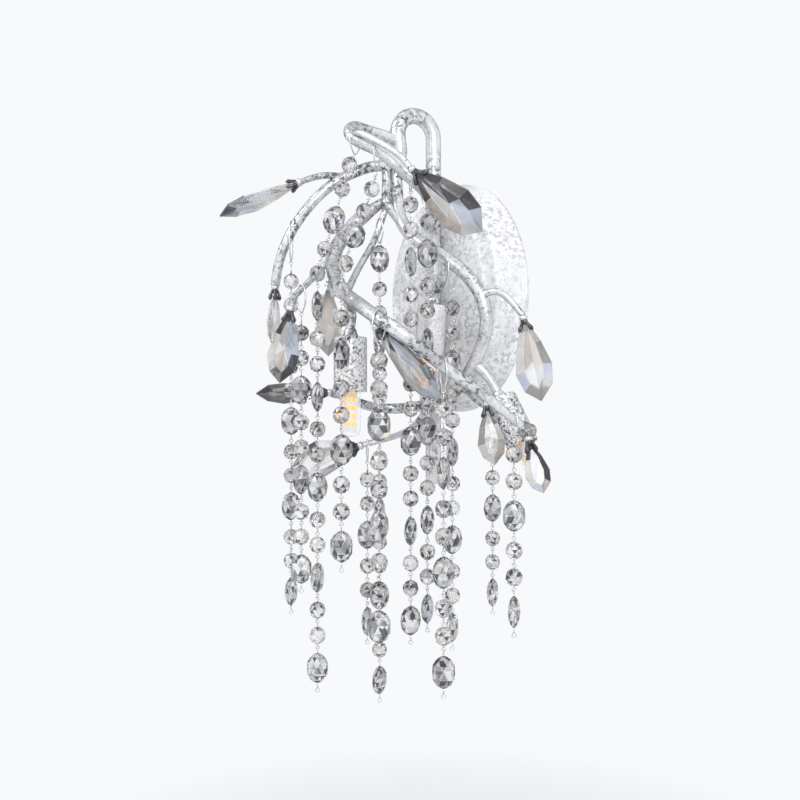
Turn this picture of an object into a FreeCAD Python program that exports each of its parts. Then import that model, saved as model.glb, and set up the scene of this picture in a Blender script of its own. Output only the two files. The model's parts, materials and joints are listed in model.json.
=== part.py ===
# Crystal wall light: a vine of silver-leafed tubes on an oval wall canopy, with three G9 lamps,
# faceted crystal leaves on twigs and thirteen hanging strands of crystal beads.
#
# Frame: millimetres, +Z up, +X to the right as seen from the room, the wall is the plane y = 0 and
# the light stands out from it towards -Y. The origin is the canopy's centre on the wall.
import FreeCAD, Part
import math
import os

V = FreeCAD.Vector
UP = V(0, 0, 1)
doc = FreeCAD.newDocument("CrystalWallLight")

# ---------------------------------------------------------------- driving sizes
SIZES = [
    ("canopy_half_width", 71, "oval canopy, half its width at the wall"),
    ("canopy_half_height", 101.5, "half its height at the wall"),
    ("canopy_rim", 3, "straight rim against the wall"),
    ("canopy_depth", 28, "wall to the canopy's front face"),
    ("canopy_taper", 14, "how far the front face is drawn in all round"),
    ("canopy_step_inset", 11, "from the front face's edge to the raised centre"),
    ("canopy_step", 3, "how far the centre is raised"),
    ("canopy_wall", 1.2, "sheet thickness"),
    ("bracket_width", 24, "flat steel bar behind the canopy"),
    ("bracket_sheet", 2, "bar thickness"),
    ("bracket_tab", 19, "how far the bent tabs stand out"),
    ("wall_hole_spacing", 90, "between the two wall screws"),
    ("wall_hole_radius", 2.5, "wall screw holes"),
    ("cable_hole_radius", 7, "hole for the supply in the bar"),
    ("rim_screw_radius", 1.75, "screws through the canopy's top and bottom"),
    ("rim_screw_head", 3.2, "their head radius"),
    ("rim_screw_out", 12, "their distance from the wall"),
    ("screw_clearance", 0.25, "radial clearance of every screw hole"),
    ("terminal_width", 22, "terminal block"),
    ("terminal_depth", 12, "its depth"),
    ("terminal_height", 16, "its height"),
    ("stem_gap", 2.5, "between the raised centre and the stem"),
    ("stem_radius", 6.5, "main tube"),
    ("stem_bottom", -163, "height of the stem's cut end"),
    ("arch_radius", 17.5, "bend at the top, centre line"),
    ("arch_foot", 133, "height where the bend starts"),
    ("standoff_radius", 5.5, "the two bosses that carry the stem"),
    ("standoff_height", 46, "their height above and below the centre"),
    ("stud_radius", 3, "threaded stud behind each boss"),
    ("stud_length", 7, "how far it reaches behind the front face"),
    ("nut_radius", 5.8, "nut on the stud, across corners"),
    ("nut_height", 4, "its thickness"),
    ("leg_radius", 5.6, "main tube where the bend comes down"),
    ("ring_radius", 5, "main tube round the ring"),
    ("ring_end_radius", 3.6, "its free end"),
    ("loop_radius", 5.2, "hairpin tube"),
    ("loop_end_radius", 4.4, "its welded end"),
    ("hoop_radius", 4.5, "left hoop"),
    ("hoop_end_radius", 3.8, "its free end"),
    ("branch_root_radius", 3.2, "long branch at its weld"),
    ("branch_radius", 5.9, "at its thickest"),
    ("branch_end_radius", 3, "its free end"),
    ("link_radius", 3.5, "short tube between hoop, branch and ring"),
    ("stay_radius", 2.6, "thin tube between link and branch"),
    ("twig_radius", 2.3, "twigs that carry leaves"),
    ("arm_radius", 4.2, "lamp arms"),
    ("cap_top_radius", 4.6, "flared cap on each lamp, top"),
    ("cap_radius", 6.6, "its foot"),
    ("cap_height", 6, "its height"),
    ("cover_radius", 12.4, "lampholder cover"),
    ("cover_length", 41, "its length"),
    ("cover_wall", 1, "its wall"),
    ("nipple_radius", 3.4, "threaded tube through the cover's top"),
    ("nipple_clearance", 0.1, "hole round it"),
    ("socket_radius", 9, "ceramic lampholder"),
    ("socket_length", 21, "its length"),
    ("pocket_width", 13, "pocket for the bulb's foot"),
    ("pocket_thickness", 5.4, "its thickness"),
    ("pocket_depth", 12, "its depth"),
    ("foot_clearance", 0.3, "between the bulb's foot and its pocket"),
    ("foot_length", 11, "bulb's foot inside the pocket"),
    ("pin_radius", 0.7, "contact pins beside the foot"),
    ("bulb_radius", 7.8, "clear bulb cover"),
    ("bulb_wall", 0.8, "its wall"),
    ("bulb_collar", 9, "opaque collar at its top"),
    ("bulb_length", 52, "collar and cover together"),
    ("board_width", 8.4, "square column of boards inside"),
    ("bead_radius", 6, "round bead"),
    ("bead_cap_radius", 2.6, "its flat ends"),
    ("bead_half_length", 5.4, "half its length along the strand"),
    ("bead_waist", 2.1, "half the height of its belt"),
    ("oval_half_width", 8, "flat oval bead"),
    ("oval_half_thickness", 4.4, "half its thickness"),
    ("oval_half_length", 10, "half its length along the strand"),
    ("oval_waist", 3.6, "half the height of its belt"),
    ("bead_gap", 8.6, "wire between two round beads"),
    ("oval_gap", 9.6, "wire beside an oval bead"),
    ("wire_half", 0.4, "half the strand wire's thickness"),
    ("hook_wire", 1, "wire of the loops over the tubes"),
    ("hook_clearance", 0.3, "between a loop and its tube"),
    ("eye_half", 1.1, "half the opening of the small links"),
    ("draped_gap", 9.6, "between a resting bead and the free part's first bead"),
    ("tail_length", 9, "wire tail with its end loop under the last bead"),
    ("leaf_length", 66, "large crystal leaf"),
    ("leaf_breadth", 0.42, "leaf width as a share of its length"),
    ("leaf_thickness", 0.105, "leaf thickness as a share of its length"),
    ("leaf_edge", 1.6, "thickness of its rim"),
    ("clamp_radius", 3.8, "collar that holds a leaf on its twig"),
    ("clamp_length", 7, "its length"),
]
sheet = doc.addObject("Spreadsheet::Sheet", "sizes")
for row, (alias, value, meaning) in enumerate(SIZES, start=1):
    sheet.set("A%d" % row, alias)
    sheet.set("B%d" % row, str(value))
    sheet.set("C%d" % row, meaning)
    sheet.setAlias("B%d" % row, alias)
doc.recompute()


def size(alias):
    return float(sheet.get(alias))


TUBE_SIDES = 10
TWIG_SIDES = 7
BEAD_SIDES = 6
COVER_SIDES = 18
BULB_SIDES = 12
SMALL_SIDES = 8
CANOPY_SIDES = 36

# ---------------------------------------------------------------- derived places
raised_face = size("canopy_depth") + size("canopy_step")
stem_out = raised_face + size("stem_gap") + size("stem_radius")


def at(x, forward, z):
    """A point of the vine: forward is measured from the stem's axis, away from the wall."""
    return V(x, -(stem_out + forward), z)


# ---------------------------------------------------------------- helpers
nodes = {}


def keep(label, obj):
    """Gives a sub-part its name, which is also its file's name."""
    obj.Label = label
    nodes[label] = obj
    return obj


def keep_solids(label, solids):
    """A sub-part whose solids have no primitive of their own: facetted crystal, bent tube, wire."""
    obj = doc.addObject("Part::Feature", label)
    obj.Shape = solids[0] if len(solids) == 1 else Part.makeCompound(solids)
    obj.Placement = FreeCAD.Placement()
    return keep(label, obj)


def bind(obj, **sizes):
    for name, expression in sizes.items():
        obj.setExpression(name.replace("__", "."), expression)
    return obj


def polygon(points):
    return Part.makePolygon(list(points) + [points[0]])


def flat(points):
    a, b, c = points[0], points[1], points[2]
    normal = (b - a).cross(c - a)
    if normal.Length < 1e-9:
        return False
    normal.normalize()
    return all(abs((p - a).dot(normal)) < 1e-7 for p in points[3:])


def skin(first, second):
    """The facets between two rings of equal count."""
    faces = []
    count = len(first)
    for i in range(count):
        j = (i + 1) % count
        quad = [first[i], first[j], second[j], second[i]]
        if flat(quad):
            faces.append(Part.Face(polygon(quad)))
        else:
            faces.append(Part.Face(polygon([quad[0], quad[1], quad[2]])))
            faces.append(Part.Face(polygon([quad[0], quad[2], quad[3]])))
    return faces


def solid_of(faces):
    solid = Part.Solid(Part.makeShell(faces))
    if solid.Volume < 0:
        solid.reverse()
    return solid


def lofted(rings):
    """A closed solid of flat facets through rings of points."""
    faces = [Part.Face(polygon(rings[0])), Part.Face(polygon(rings[-1]))]
    for first, second in zip(rings, rings[1:]):
        faces += skin(first, second)
    return solid_of(faces)


def ring_at(centre, across, aside, sides, radius, other=None):
    """Points of one section: radius along across, other along aside."""
    other = radius if other is None else other
    turns = [2 * math.pi * (i + 0.5) / sides for i in range(sides)]
    return [centre + across * (radius * math.cos(t)) + aside * (other * math.sin(t)) for t in turns]


def prism_along(start, end, radius, sides=3):
    """A straight bar between two points."""
    along = (end - start).normalize()
    across = side_of(along)
    aside = along.cross(across)
    return lofted([ring_at(p, across, aside, sides, radius) for p in (start, end)])


def side_of(along):
    """Any direction square to along."""
    guide = V(0, 1, 0) if abs(along.y) < 0.9 else V(1, 0, 0)
    return (guide - along * guide.dot(along)).normalize()


# ---------------------------------------------------------------- bent tubes
def curve_through(points, first=None, last=None):
    """A smooth centre line through hand-placed points."""
    curve = Part.BSplineCurve()
    if first is None:
        curve.interpolate(Points=points)
    else:
        last = last or (points[-1] - points[-2])
        curve.interpolate(Points=points, InitialTangent=first, FinalTangent=last)
    return curve


def stations(curve, step):
    """Evenly spaced points and directions along a centre line."""
    edge = curve.toShape()
    count = max(int(round(edge.Length / step)), 2) + 1
    found = []
    for point in edge.discretize(Number=count):
        along = curve.tangent(curve.parameter(point))[0]
        found.append((point, V(along).normalize()))
    return found


def tube(line, radii, sides):
    """A round tube, in facets, along stations; radii are (share of the length, radius) pairs."""
    along = line[0][1]
    across = side_of(along)
    run = [0.0]
    for (a, _), (b, _) in zip(line, line[1:]):
        run.append(run[-1] + (b - a).Length)
    rings = []
    for (point, along), done in zip(line, run):
        across = (across - along * across.dot(along)).normalize()
        aside = along.cross(across)
        rings.append(ring_at(point, across, aside, sides, between(radii, done / run[-1])))
    return rings


def between(pairs, share):
    """Straight interpolation in a list of (share, value) pairs."""
    for (a, low), (b, high) in zip(pairs, pairs[1:]):
        if share <= b:
            return low + (high - low) * (share - a) / (b - a)
    return pairs[-1][1]


# Centre lines, from the front view and the side view of the object: x, forward of the stem, height.
LEG_AND_RING = [
    (-12, 31, 119), (-13, 35, 100), (-11, 37, 84), (-7, 39, 67), (3, 40, 49), (24, 38, 32),
    (44, 35, 19), (58, 33, 7), (69, 31, -8), (74, 29, -28), (66, 26, -52), (52, 22, -70),
    (37, 17, -82), (19, 12.5, -91), (0, 11.4, -95.5), (-20, 16, -98), (-34, 28, -98),
    (-44, 44, -94), (-50, 58, -88), (-53, 70, -85),
]
HAIRPIN = [
    (-12, 32, 126), (-19, 46, 129), (-23, 62, 130), (-23.5, 75, 129), (-20, 83, 122),
    (-12, 83, 115), (2, 78, 107), (16, 73, 96), (27, 69, 84), (33, 61, 76), (35.5, 52, 68), (34.5, 43, 57), (31, 38.5, 45), (28, 38, 34),
]
HOOP = [
    (-13, 35, 101), (-15, 48, 102.5), (-20, 57, 101), (-26, 67, 96.5), (-36, 78, 89), (-47, 90, 76),
    (-60, 100, 57), (-69, 106, 39), (-75, 109, 22), (-80, 109, 3),
]
BRANCH = [
    (-12, 48, 74), (-26, 59, 62), (-33, 75, 44), (-29, 92, 25), (-14, 106, 5), (4, 116, -10),
    (29, 126, -22), (56, 134, -35), (71, 129, -45), (79, 116, -56), (85, 102, -66), (93, 90, -76),
    (102, 75, -87), (110, 56, -101), (119, 40, -115),
]
LINK = [(-14, 47, 102), (-12, 48, 88), (-12, 48, 74), (-6, 44, 61), (3, 40, 49)]
STAY = [(-12, 48, 69), (-16, 56, 44), (-10, 80, 18), (8, 115, -10)]

TUBE_STEP = 15
stem_axis = at(0, 0, 0)
bend = V(*LEG_AND_RING[0]) - V(0, 0, 0)
bend_across = V(bend.x, -bend.y, 0).normalize()


def stem_line():
    """The straight stem, then half a turn over to the front leg."""
    foot = size("arch_foot")
    radius = size("arch_radius")
    line = [(V(0, stem_axis.y, size("stem_bottom")), UP), (V(0, stem_axis.y, foot), UP)]
    centre = V(0, stem_axis.y, foot) + bend_across * radius
    steps = 9
    for i in range(1, steps + 1):
        turn = math.pi * i / steps
        point = centre - bend_across * (radius * math.cos(turn)) + UP * (radius * math.sin(turn))
        along = bend_across * math.sin(turn) + UP * math.cos(turn)
        line.append((point, along))
    return line


def main_tube():
    """Stem, arch, front leg and ring are one bent tube, cut where the ring starts."""
    line = stem_line()
    arch_end = line[-1][0]
    curve = curve_through([arch_end] + [at(*p) for p in LEG_AND_RING], V(0, 0, -1))
    lower = stations(curve, TUBE_STEP)[1:]
    whole = line + lower
    run = [0.0]
    for (a, _), (b, _) in zip(whole, whole[1:]):
        run.append(run[-1] + (b - a).Length)
    bent = run[len(line) - 1] / run[-1]
    radii = [
        (0, size("stem_radius")), (bent, size("stem_radius")), (bent + 0.1, size("leg_radius")),
        (bent + 0.25, size("ring_radius")), (0.85, size("ring_radius")), (1, size("ring_end_radius")),
    ]
    rings = tube(whole, radii, TUBE_SIDES)
    split = len(line) + 6
    return lofted(rings[: split + 1]), lofted(rings[split:]), curve


def simple_tube(points, radii, sides=TUBE_SIDES, step=TUBE_STEP):
    curve = curve_through([at(*p) for p in points])
    return lofted(tube(stations(curve, step), radii, sides)), curve


def coped(piece, *parents):
    """The end of a tube, cut to sit on the tube that it is welded to."""
    for parent in parents:
        piece = piece.cut(parent)
    return max(piece.Solids, key=lambda s: s.Volume)


stem, ring, ring_curve = main_tube()
ring = coped(ring, stem)
hoop, hoop_curve = simple_tube(HOOP, [(0, size("hoop_radius")), (1, size("hoop_end_radius"))])
hoop = coped(hoop, stem)
hairpin, hairpin_curve = simple_tube(
    HAIRPIN, [(0, size("loop_radius")), (0.6, size("loop_radius")), (1, size("loop_end_radius"))], step=9
)
hairpin = coped(hairpin, stem, ring)
link, link_curve = simple_tube(LINK, [(0, size("link_radius")), (1, size("link_radius"))])
link = coped(link, hoop, stem, ring)
branch_radii = [
    (0, size("branch_root_radius")), (0.07, size("branch_radius")), (0.3, size("branch_radius")),
    (0.6, 0.8 * size("branch_radius")), (1, size("branch_end_radius")),
]
branch, branch_curve = simple_tube(BRANCH, branch_radii)
branch = coped(branch, link)
stay, stay_curve = simple_tube(STAY, [(0, size("stay_radius")), (1, size("stay_radius"))], TWIG_SIDES)
stay = coped(stay, link, branch)

keep_solids("stem_tube", [stem])
keep_solids("ring_tube", [ring])
keep_solids("hairpin_tube", [hairpin])
keep_solids("hoop_tubes", [hoop, link, stay])
keep_solids("long_branch", [branch])

# ---------------------------------------------------------------- leaves, twigs and clamps
# name: (twig centre line, tube that carries it, point it aims at, side its breadth runs to,
#        length as a share of leaf_length, breadth as a share of the usual breadth)
LEAVES = {
    "leaf_top": (
        [(-18, 84, 120), (-6, 88, 118), (6, 88, 112), (22, 86, 102), (36, 83, 90), (40, 81, 84)],
        hairpin, (78, 41, 36), (0.7, 0.1, 0.7), 1, 1.25),
    "leaf_far_left": (
        [(-34, 76, 91), (-41, 88, 91), (-48, 109, 83)], hoop, (-123, 134, 61), (0.35, 0.85, 0.3), 1.1, 0.73),
    "leaf_left": (
        [(-79, 109, 10), (-80, 109, 3.5)], hoop, (-81, 110, -52), (0.25, 1, 0), 0.65, 1),
    "leaf_left_front": (
        [(-31, 92, 24), (-36, 105, 8), (-37, 120, -5), (-33, 132, -14), (-28, 139, -20)],
        branch, (-42, 138, -76), (0.77, -0.64, 0), 0.8, 1.1),
    "leaf_low_left": (
        [(-51, 66, -86), (-53, 69.6, -85)], ring, (-112, 111, -86), (-0.3, 0.6, 0.35), 0.88, 0.9),
    "leaf_behind": (
        [(-33, 79, 39), (-38, 83, 20), (-39, 88, 4)], branch, (-44, 84, -54), (0.8, -0.6, 0), 0.8, 1),
    "leaf_middle": (
        [(46, 131, -29), (46.5, 130, -34), (47, 129, -38)], branch, (72, 90, -88), (0.6, 0.6, -0.5), 0.97, 0.9),
    "leaf_bottom": (
        [(5, 12, -94.8), (3, 31, -113), (-2, 55, -121.5), (-16, 72, -127)],
        ring, (-84, 88, -150), (0.3, -0.3, 0.9), 1, 1.25),
    "leaf_right": (
        [(71, 31, -10), (84, 29, -8), (95, 25, -17), (102, 21, -27)],
        ring, (120, 26, -92), (0.85, -0.5, 0.2), 0.92, 1.1),
    "leaf_low_right": (
        [(52, 22, -70), (64, 30, -83), (77, 34, -92)], ring, (84, 34, -137), (0.77, -0.64, 0), 0.64, 1.2),
    "leaf_end": (
        [(120.5, 45, -116.3), (121, 46, -117)], branch, (134, 48.5, -153.5), (0.77, -0.64, 0.1), 0.54, 1.2),
}
# A short bare twig low on the right carries one strand.
BARE_TWIG = [(40, 19, -78), (50, 5, -92), (57, -9, -103)]

# Outline of a leaf: share of its length, share of its breadth, from the base round to the base.
LEAF_OUTLINE = [
    (0, -0.1), (0.28, -0.34), (0.62, -0.5), (0.85, -0.35), (1, 0.03),
    (0.8, 0.42), (0.56, 0.5), (0.25, 0.33), (0, 0.1),
]
# Its ridge: share of the length, share of the breadth, share of the half thickness.
LEAF_RIDGE = [(0.12, 0.02, 0.8), (0.5, 0.06, 1), (0.8, 0.03, 0.75)]
# Ridge point that each outline corner runs up to.
LEAF_FAN_INDEX = [0, 0, 1, 2, 2, 2, 1, 0, 0]


def leaf(base, tip, side, length, breadth):
    """A flat crystal leaf with a raised ridge on both faces."""
    along = (tip - base).normalize()
    across = (side - along * side.dot(along)).normalize()
    up = along.cross(across)
    half = length * size("leaf_thickness") / 2
    rim = size("leaf_edge") / 2

    def place(share, aside, height):
        return base + along * (share * length) + across * (aside * breadth) + up * height

    faces = []
    for level in (1, -1):
        edge = [place(s, b, level * rim) for s, b in LEAF_OUTLINE]
        ridge = [place(s, b, level * (rim + h * (half - rim))) for s, b, h in LEAF_RIDGE]
        for i in range(len(edge)):
            j = (i + 1) % len(edge)
            a, b = ridge[LEAF_FAN_INDEX[i]], ridge[LEAF_FAN_INDEX[j]]
            faces.append(Part.Face(polygon([edge[i], edge[j], a])))
            if LEAF_FAN_INDEX[i] != LEAF_FAN_INDEX[j]:
                faces.append(Part.Face(polygon([edge[j], b, a])))
    top = [place(s, b, rim) for s, b in LEAF_OUTLINE]
    bottom = [place(s, b, -rim) for s, b in LEAF_OUTLINE]
    faces += skin(top, bottom)
    return solid_of(faces)


def clamp(start, along, across):
    """The collar on a twig's end that holds a leaf."""
    up = along.cross(across)
    length = size("clamp_length")
    radius = size("clamp_radius")
    end = start + along * length
    return lofted([
        ring_at(start, across, up, TWIG_SIDES, 0.72 * radius),
        ring_at(start + along * (0.35 * length), across, up, TWIG_SIDES, radius),
        ring_at(end, across, up, TWIG_SIDES, 0.9 * radius),
    ])


twigs = []
clamps = []
small_leaves = []
for name, (route, parent, tip, side, long, broad) in LEAVES.items():
    points = [at(*p) for p in route]
    along = (points[-1] - points[-2]).normalize()
    body = parent
    if len(points) > 2:
        curve = curve_through(points)
        line = stations(curve, TUBE_STEP)
        along = line[-1][1]
        body = lofted(tube(line, [(0, 1.2 * size("twig_radius")), (1, size("twig_radius"))], TWIG_SIDES))
        body = coped(body, parent)
        twigs.append(body)
    start = points[-1]
    aim = (at(*tip) - start).normalize()
    across = V(side[0], -side[1], side[2])
    across = (across - aim * across.dot(aim)).normalize()
    seat = start + aim * size("clamp_length")
    collar = clamp(start, aim, across)
    clamps.append(coped(collar, body))
    length = size("leaf_length") * long
    crystal = leaf(seat, seat + aim, across, length, length * size("leaf_breadth") * broad)
    if long > 0.7:
        keep_solids(name, [crystal])
    else:
        small_leaves.append(crystal)
keep_solids("small_leaves", small_leaves)

bare_curve = curve_through([at(*p) for p in BARE_TWIG])
bare_twig = lofted(tube(stations(bare_curve, TUBE_STEP),
                        [(0, 1.2 * size("twig_radius")), (1, size("twig_radius"))], TWIG_SIDES))
twigs.append(coped(bare_twig, ring))
keep_solids("twigs", twigs)

# The long branch ends in a fat facetted ferrule.
ferrule_start, ferrule_aim = stations(branch_curve, TUBE_STEP)[-1]
ferrule_across = side_of(ferrule_aim)
ferrule = [(-8, 3.2), (-7, 5.5), (-1, 6.6), (2, 6), (3, 3.5)]
ferrule = lofted([
    ring_at(ferrule_start + ferrule_aim * run, ferrule_across, ferrule_aim.cross(ferrule_across), TWIG_SIDES, r)
    for run, r in ferrule
])
ferrule = coped(ferrule, branch)
clamps[-1] = coped(clamps[-1], ferrule)
clamps.append(ferrule)
keep_solids("leaf_clamps", clamps)

twig_curves = {}
for name in ("leaf_left_front", "leaf_bottom"):
    twig_curves[name] = curve_through([at(*p) for p in LEAVES[name][0]])


# ---------------------------------------------------------------- bead strands
def bead(centre, along, across, kind):
    """One facetted crystal bead: six sides, a belt and two flat ends."""
    aside = along.cross(across)
    if kind == "O":
        half, waist = size("oval_half_length"), size("oval_waist")
        wide, thick = size("oval_half_width"), size("oval_half_thickness")
    else:
        half, waist = size("bead_half_length"), size("bead_waist")
        wide = thick = size("bead_radius")
    cap = size("bead_cap_radius")
    levels = [(-half, cap, cap), (-waist, wide, thick), (waist, wide, thick), (half, cap, cap)]
    rings = []
    for level, broad, deep in levels:
        turns = [2 * math.pi * i / BEAD_SIDES for i in range(BEAD_SIDES)]
        middle = centre + along * level
        rings.append([
            middle + across * (broad * math.cos(t)) + aside * (deep * math.sin(t)) for t in turns
        ])
    return lofted(rings)


def half_length(kind):
    return size("oval_half_length") if kind == "O" else size("bead_half_length")


def gap_between(kind, other):
    return size("oval_gap") if "O" in (kind, other) else size("bead_gap")


def perch(curve, x, forward):
    """The point of a tube's centre line over a place in plan, and the tube's direction there."""
    target = at(x, forward, 0)
    best = None
    for point in curve.toShape().discretize(Number=400):
        away = math.hypot(point.x - target.x, point.y - target.y)
        if best is None or away < best[0]:
            best = (away, point)
    point = best[1]
    along = V(curve.tangent(curve.parameter(point))[0]).normalize()
    return point, along


def frame_of_wire(outline_outer, outline_inner, along, thickness):
    """A flat wire ring between two outlines."""
    face = Part.Face(polygon(outline_outer)).cut(Part.Face(polygon(outline_inner))).Faces[0]
    return face.extrude(along * thickness)


def hook(point, along, radius, lead, first):
    """A wire loop over a tube, in the upright plane square to the tube; the middle of its foot."""
    level = V(along.x, along.y, 0).normalize()
    aside = UP.cross(level)
    wire = size("hook_wire")
    slant = math.hypot(along.x, along.y)
    reach = (radius + abs(along.z) * wire / 2) / slant
    wide = radius + size("hook_clearance") + 0.5
    top = reach + size("hook_clearance")
    spare = lead - half_length(first) - reach - 2 * wire - 2 * size("eye_half")
    low = -(reach + max(0.7 * spare, 3.2))

    def outline(grow):
        half = wide + grow
        high, deep = top + grow, low - grow
        bevel = 0.55 * half
        corners = [
            (-0.45 * half, high), (0.45 * half, high), (half, high - bevel), (half, deep + 1.6 * bevel),
            (0.35 * half, deep), (-0.35 * half, deep), (-half, deep + 1.6 * bevel), (-half, high - bevel),
        ]
        return [point + aside * s + UP * t - level * (wire / 2) for s, t in corners]

    loop = frame_of_wire(outline(wire), outline(0), level, wire)
    return loop, point + UP * (low - wire / 2), level


def eye(centre, level):
    """A small square wire link in the upright plane along level."""
    aside = UP.cross(level)
    wire = 2 * size("wire_half")

    def outline(half):
        corners = [(-half, -half), (half, -half), (half, half), (-half, half)]
        return [centre + level * s + UP * t - aside * (wire / 2) for s, t in corners]

    return frame_of_wire(outline(size("eye_half") + wire), outline(size("eye_half")), aside, wire)


def column(pivot, level, start, pattern, twist):
    """Beads and the wires between them, straight down from the link that hangs at the pivot."""
    wire = 2 * size("wire_half")
    beads, wires = [], [eye(pivot, level)]
    down = V(0, 0, -1)
    across = V(math.cos(math.radians(twist)), math.sin(math.radians(twist)), 0)
    upper = pivot - UP * (size("eye_half") + wire)
    centre = start
    for i, kind in enumerate(pattern):
        beads.append(bead(centre, down, across, kind))
        wires.append(prism_along(upper, centre - down * half_length(kind), size("wire_half")))
        upper = centre + down * half_length(kind)
        if i + 1 < len(pattern):
            other = pattern[i + 1]
            centre = upper + down * (gap_between(kind, other) + half_length(other))
    tail = upper + down * size("tail_length")
    wires.append(prism_along(upper, tail, size("wire_half")))
    return beads, wires


# name: (tube, its radius there, x and forward of the perch, tube centre to first bead, pattern, twist)
STRANDS = {
    "strand_01": (hoop_curve, 4.3, -66, 104, 40, "RRORRORRORRO", 40),
    "strand_02": (twig_curves["leaf_left_front"], 2.6, -37, 120, 34, "RRORRORRO", 40),
    "strand_05": (stay_curve, 3.3, -17, 52, 26, "ORRORRORRORRORRO", 150),
    "strand_06": (branch_curve, 5.2, 56, 134, 29, "RRORRORRO", 120),
    "strand_07": (twig_curves["leaf_bottom"], 2.4, -14, 69, 29, "RRORRO", 60),
    "strand_08": (hairpin_curve, 5.2, 29.5, 67, 21, "RRORRORRORRORRO", 70),
    "strand_09": (hairpin_curve, 5, 35, 53.5, 21, "RRORRORRORRORRO"[1:], 20),
    "strand_10": (branch_curve, 4.7, 86, 100, 30, "RRORRORRO", 140),
    "strand_11": (ring_curve, 5, 46, 34, 36, "RRORRORRORRO", 100),
    "strand_12": (bare_curve, 2.4, 56, -7, 34, "RRORRO", 150),
    "strand_13": (branch_curve, 3.6, 112, 50, 25, "RRORRO", 70),
}


fixed_wires = []


def strand(name, curve, radius, x, forward, lead, pattern, twist):
    point, along = perch(curve, x, forward)
    loop, pivot, level = hook(point, along, radius, lead, pattern[0])
    fixed_wires.append(loop)
    beads, wires = column(pivot, level, point - UP * lead, pattern, twist)
    keep_solids(name + "_crystals", beads)
    keep_solids(name + "_wire", wires)
    print("pivot", name, "%.3f %.3f %.3f" % tuple(pivot))


for name, values in STRANDS.items():
    strand(name, *values)

# Two strands lie over the long branch before they hang free: hook, bead centres, free part's pattern.
DRAPES = {
    "strand_03": (
        hairpin_curve, 5.7, -14, 84,
        [("R", -12, 92, 93), ("R", -13, 99, 73), ("O", -15, 106, 48), ("R", -19, 112, 25), ("R", -22, 117, 6)],
        "ORRORRORRORRO", 30),
    "strand_04": (
        hairpin_curve, 5.3, 4, 78,
        [("R", 7, 87, 72), ("R", 10, 99, 52), ("O", 13, 113, 31), ("R", 17, 127, 8), ("R", 20, 134, -12)],
        "RORRORRO", 110),
}


def drape(name, curve, radius, x, forward, rests, pattern, twist):
    """The resting part of a strand, then its free part, which swings from the last resting bead."""
    point, along = perch(curve, x, forward)
    kinds = [rest[0] for rest in rests]
    centres = [at(*rest[1:]) for rest in rests]
    lead = point.z - centres[0].z
    loop, foot, level = hook(point, along, radius, lead, kinds[0])
    beads, wires = [], [loop]
    upper = foot - UP * (size("hook_wire") / 2)
    for i, kind in enumerate(kinds):
        before = centres[i - 1] if i else upper
        after = centres[i + 1] if i + 1 < len(rests) else centres[i] - UP * 20
        direction = (after - before).normalize() if i + 1 < len(rests) else V(0, 0, -1)
        beads.append(bead(centres[i], direction, side_of(direction), kind))
        wires.append(prism_along(upper, centres[i] - direction * half_length(kind), size("wire_half")))
        upper = centres[i] + direction * half_length(kind)
    wire = 2 * size("wire_half")
    link = upper - UP * (size("eye_half") + wire)
    wires.append(eye(link, UP.cross(level)))
    pivot = link - UP * (size("eye_half") + wire / 2)
    start = upper - UP * (size("draped_gap") + half_length(pattern[0]))
    free_beads, free_wires = column(pivot, level, start, pattern, twist)
    keep_solids(name + "_crystals", free_beads)
    keep_solids(name + "_wire", free_wires)
    print("pivot", name, "%.3f %.3f %.3f" % tuple(pivot))
    return beads, wires


draped_beads = []
for name, values in DRAPES.items():
    more_beads, more_wires = drape(name, *values)
    draped_beads += more_beads
    fixed_wires += more_wires
keep_solids("draped_crystals", draped_beads)
keep_solids("strand_hooks", fixed_wires)

# ---------------------------------------------------------------- lamps
# name: (arm centre line, tube that carries it, direction the lamp points)
LAMPS = {
    "left": ([(4, 116, -11), (10, 115, -21), (9, 112, -31), (8, 112, -38)], branch, (0, 0, -1)),
    "middle": ([(38, 36, 23), (35, 33, 12), (28, 28.5, 2), (20, 25.8, -6.9)], ring, (-0.09, 0, -1)),
    "right": ([(59, 24, -62), (66, 20, -69), (71, 17, -77), (75, 15, -85)], ring, (0.5, 0, -0.866)),
}


def lamp_frame(end, aim):
    """Placement whose origin is the foot of the flared cap and whose -Z is the lamp's axis."""
    place = end + aim * size("cap_height")
    return FreeCAD.Placement(place, FreeCAD.Rotation(V(0, 0, -1), aim))


def primitive(kind, label, frame, shift=V(0, 0, 0), **sizes):
    obj = doc.addObject("Part::" + kind, label)
    obj.Placement = frame.multiply(FreeCAD.Placement(shift, FreeCAD.Rotation()))
    return bind(obj, **sizes)


def post(label, frame, shift, sides, **sizes):
    """An upright prism with many sides, for a round piece."""
    obj = primitive("Prism", label, frame, shift, **sizes)
    obj.Polygon = sides
    return obj


def cut(label, base, tools):
    """base with every tool taken away, as a parametric boolean."""
    if len(tools) > 1:
        fuse = doc.addObject("Part::MultiFuse", label + "_tools")
        fuse.Shapes = tools
        tool = fuse
    else:
        tool = tools[0]
    obj = doc.addObject("Part::Cut", label)
    obj.Base = base
    obj.Tool = tool
    return obj


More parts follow.
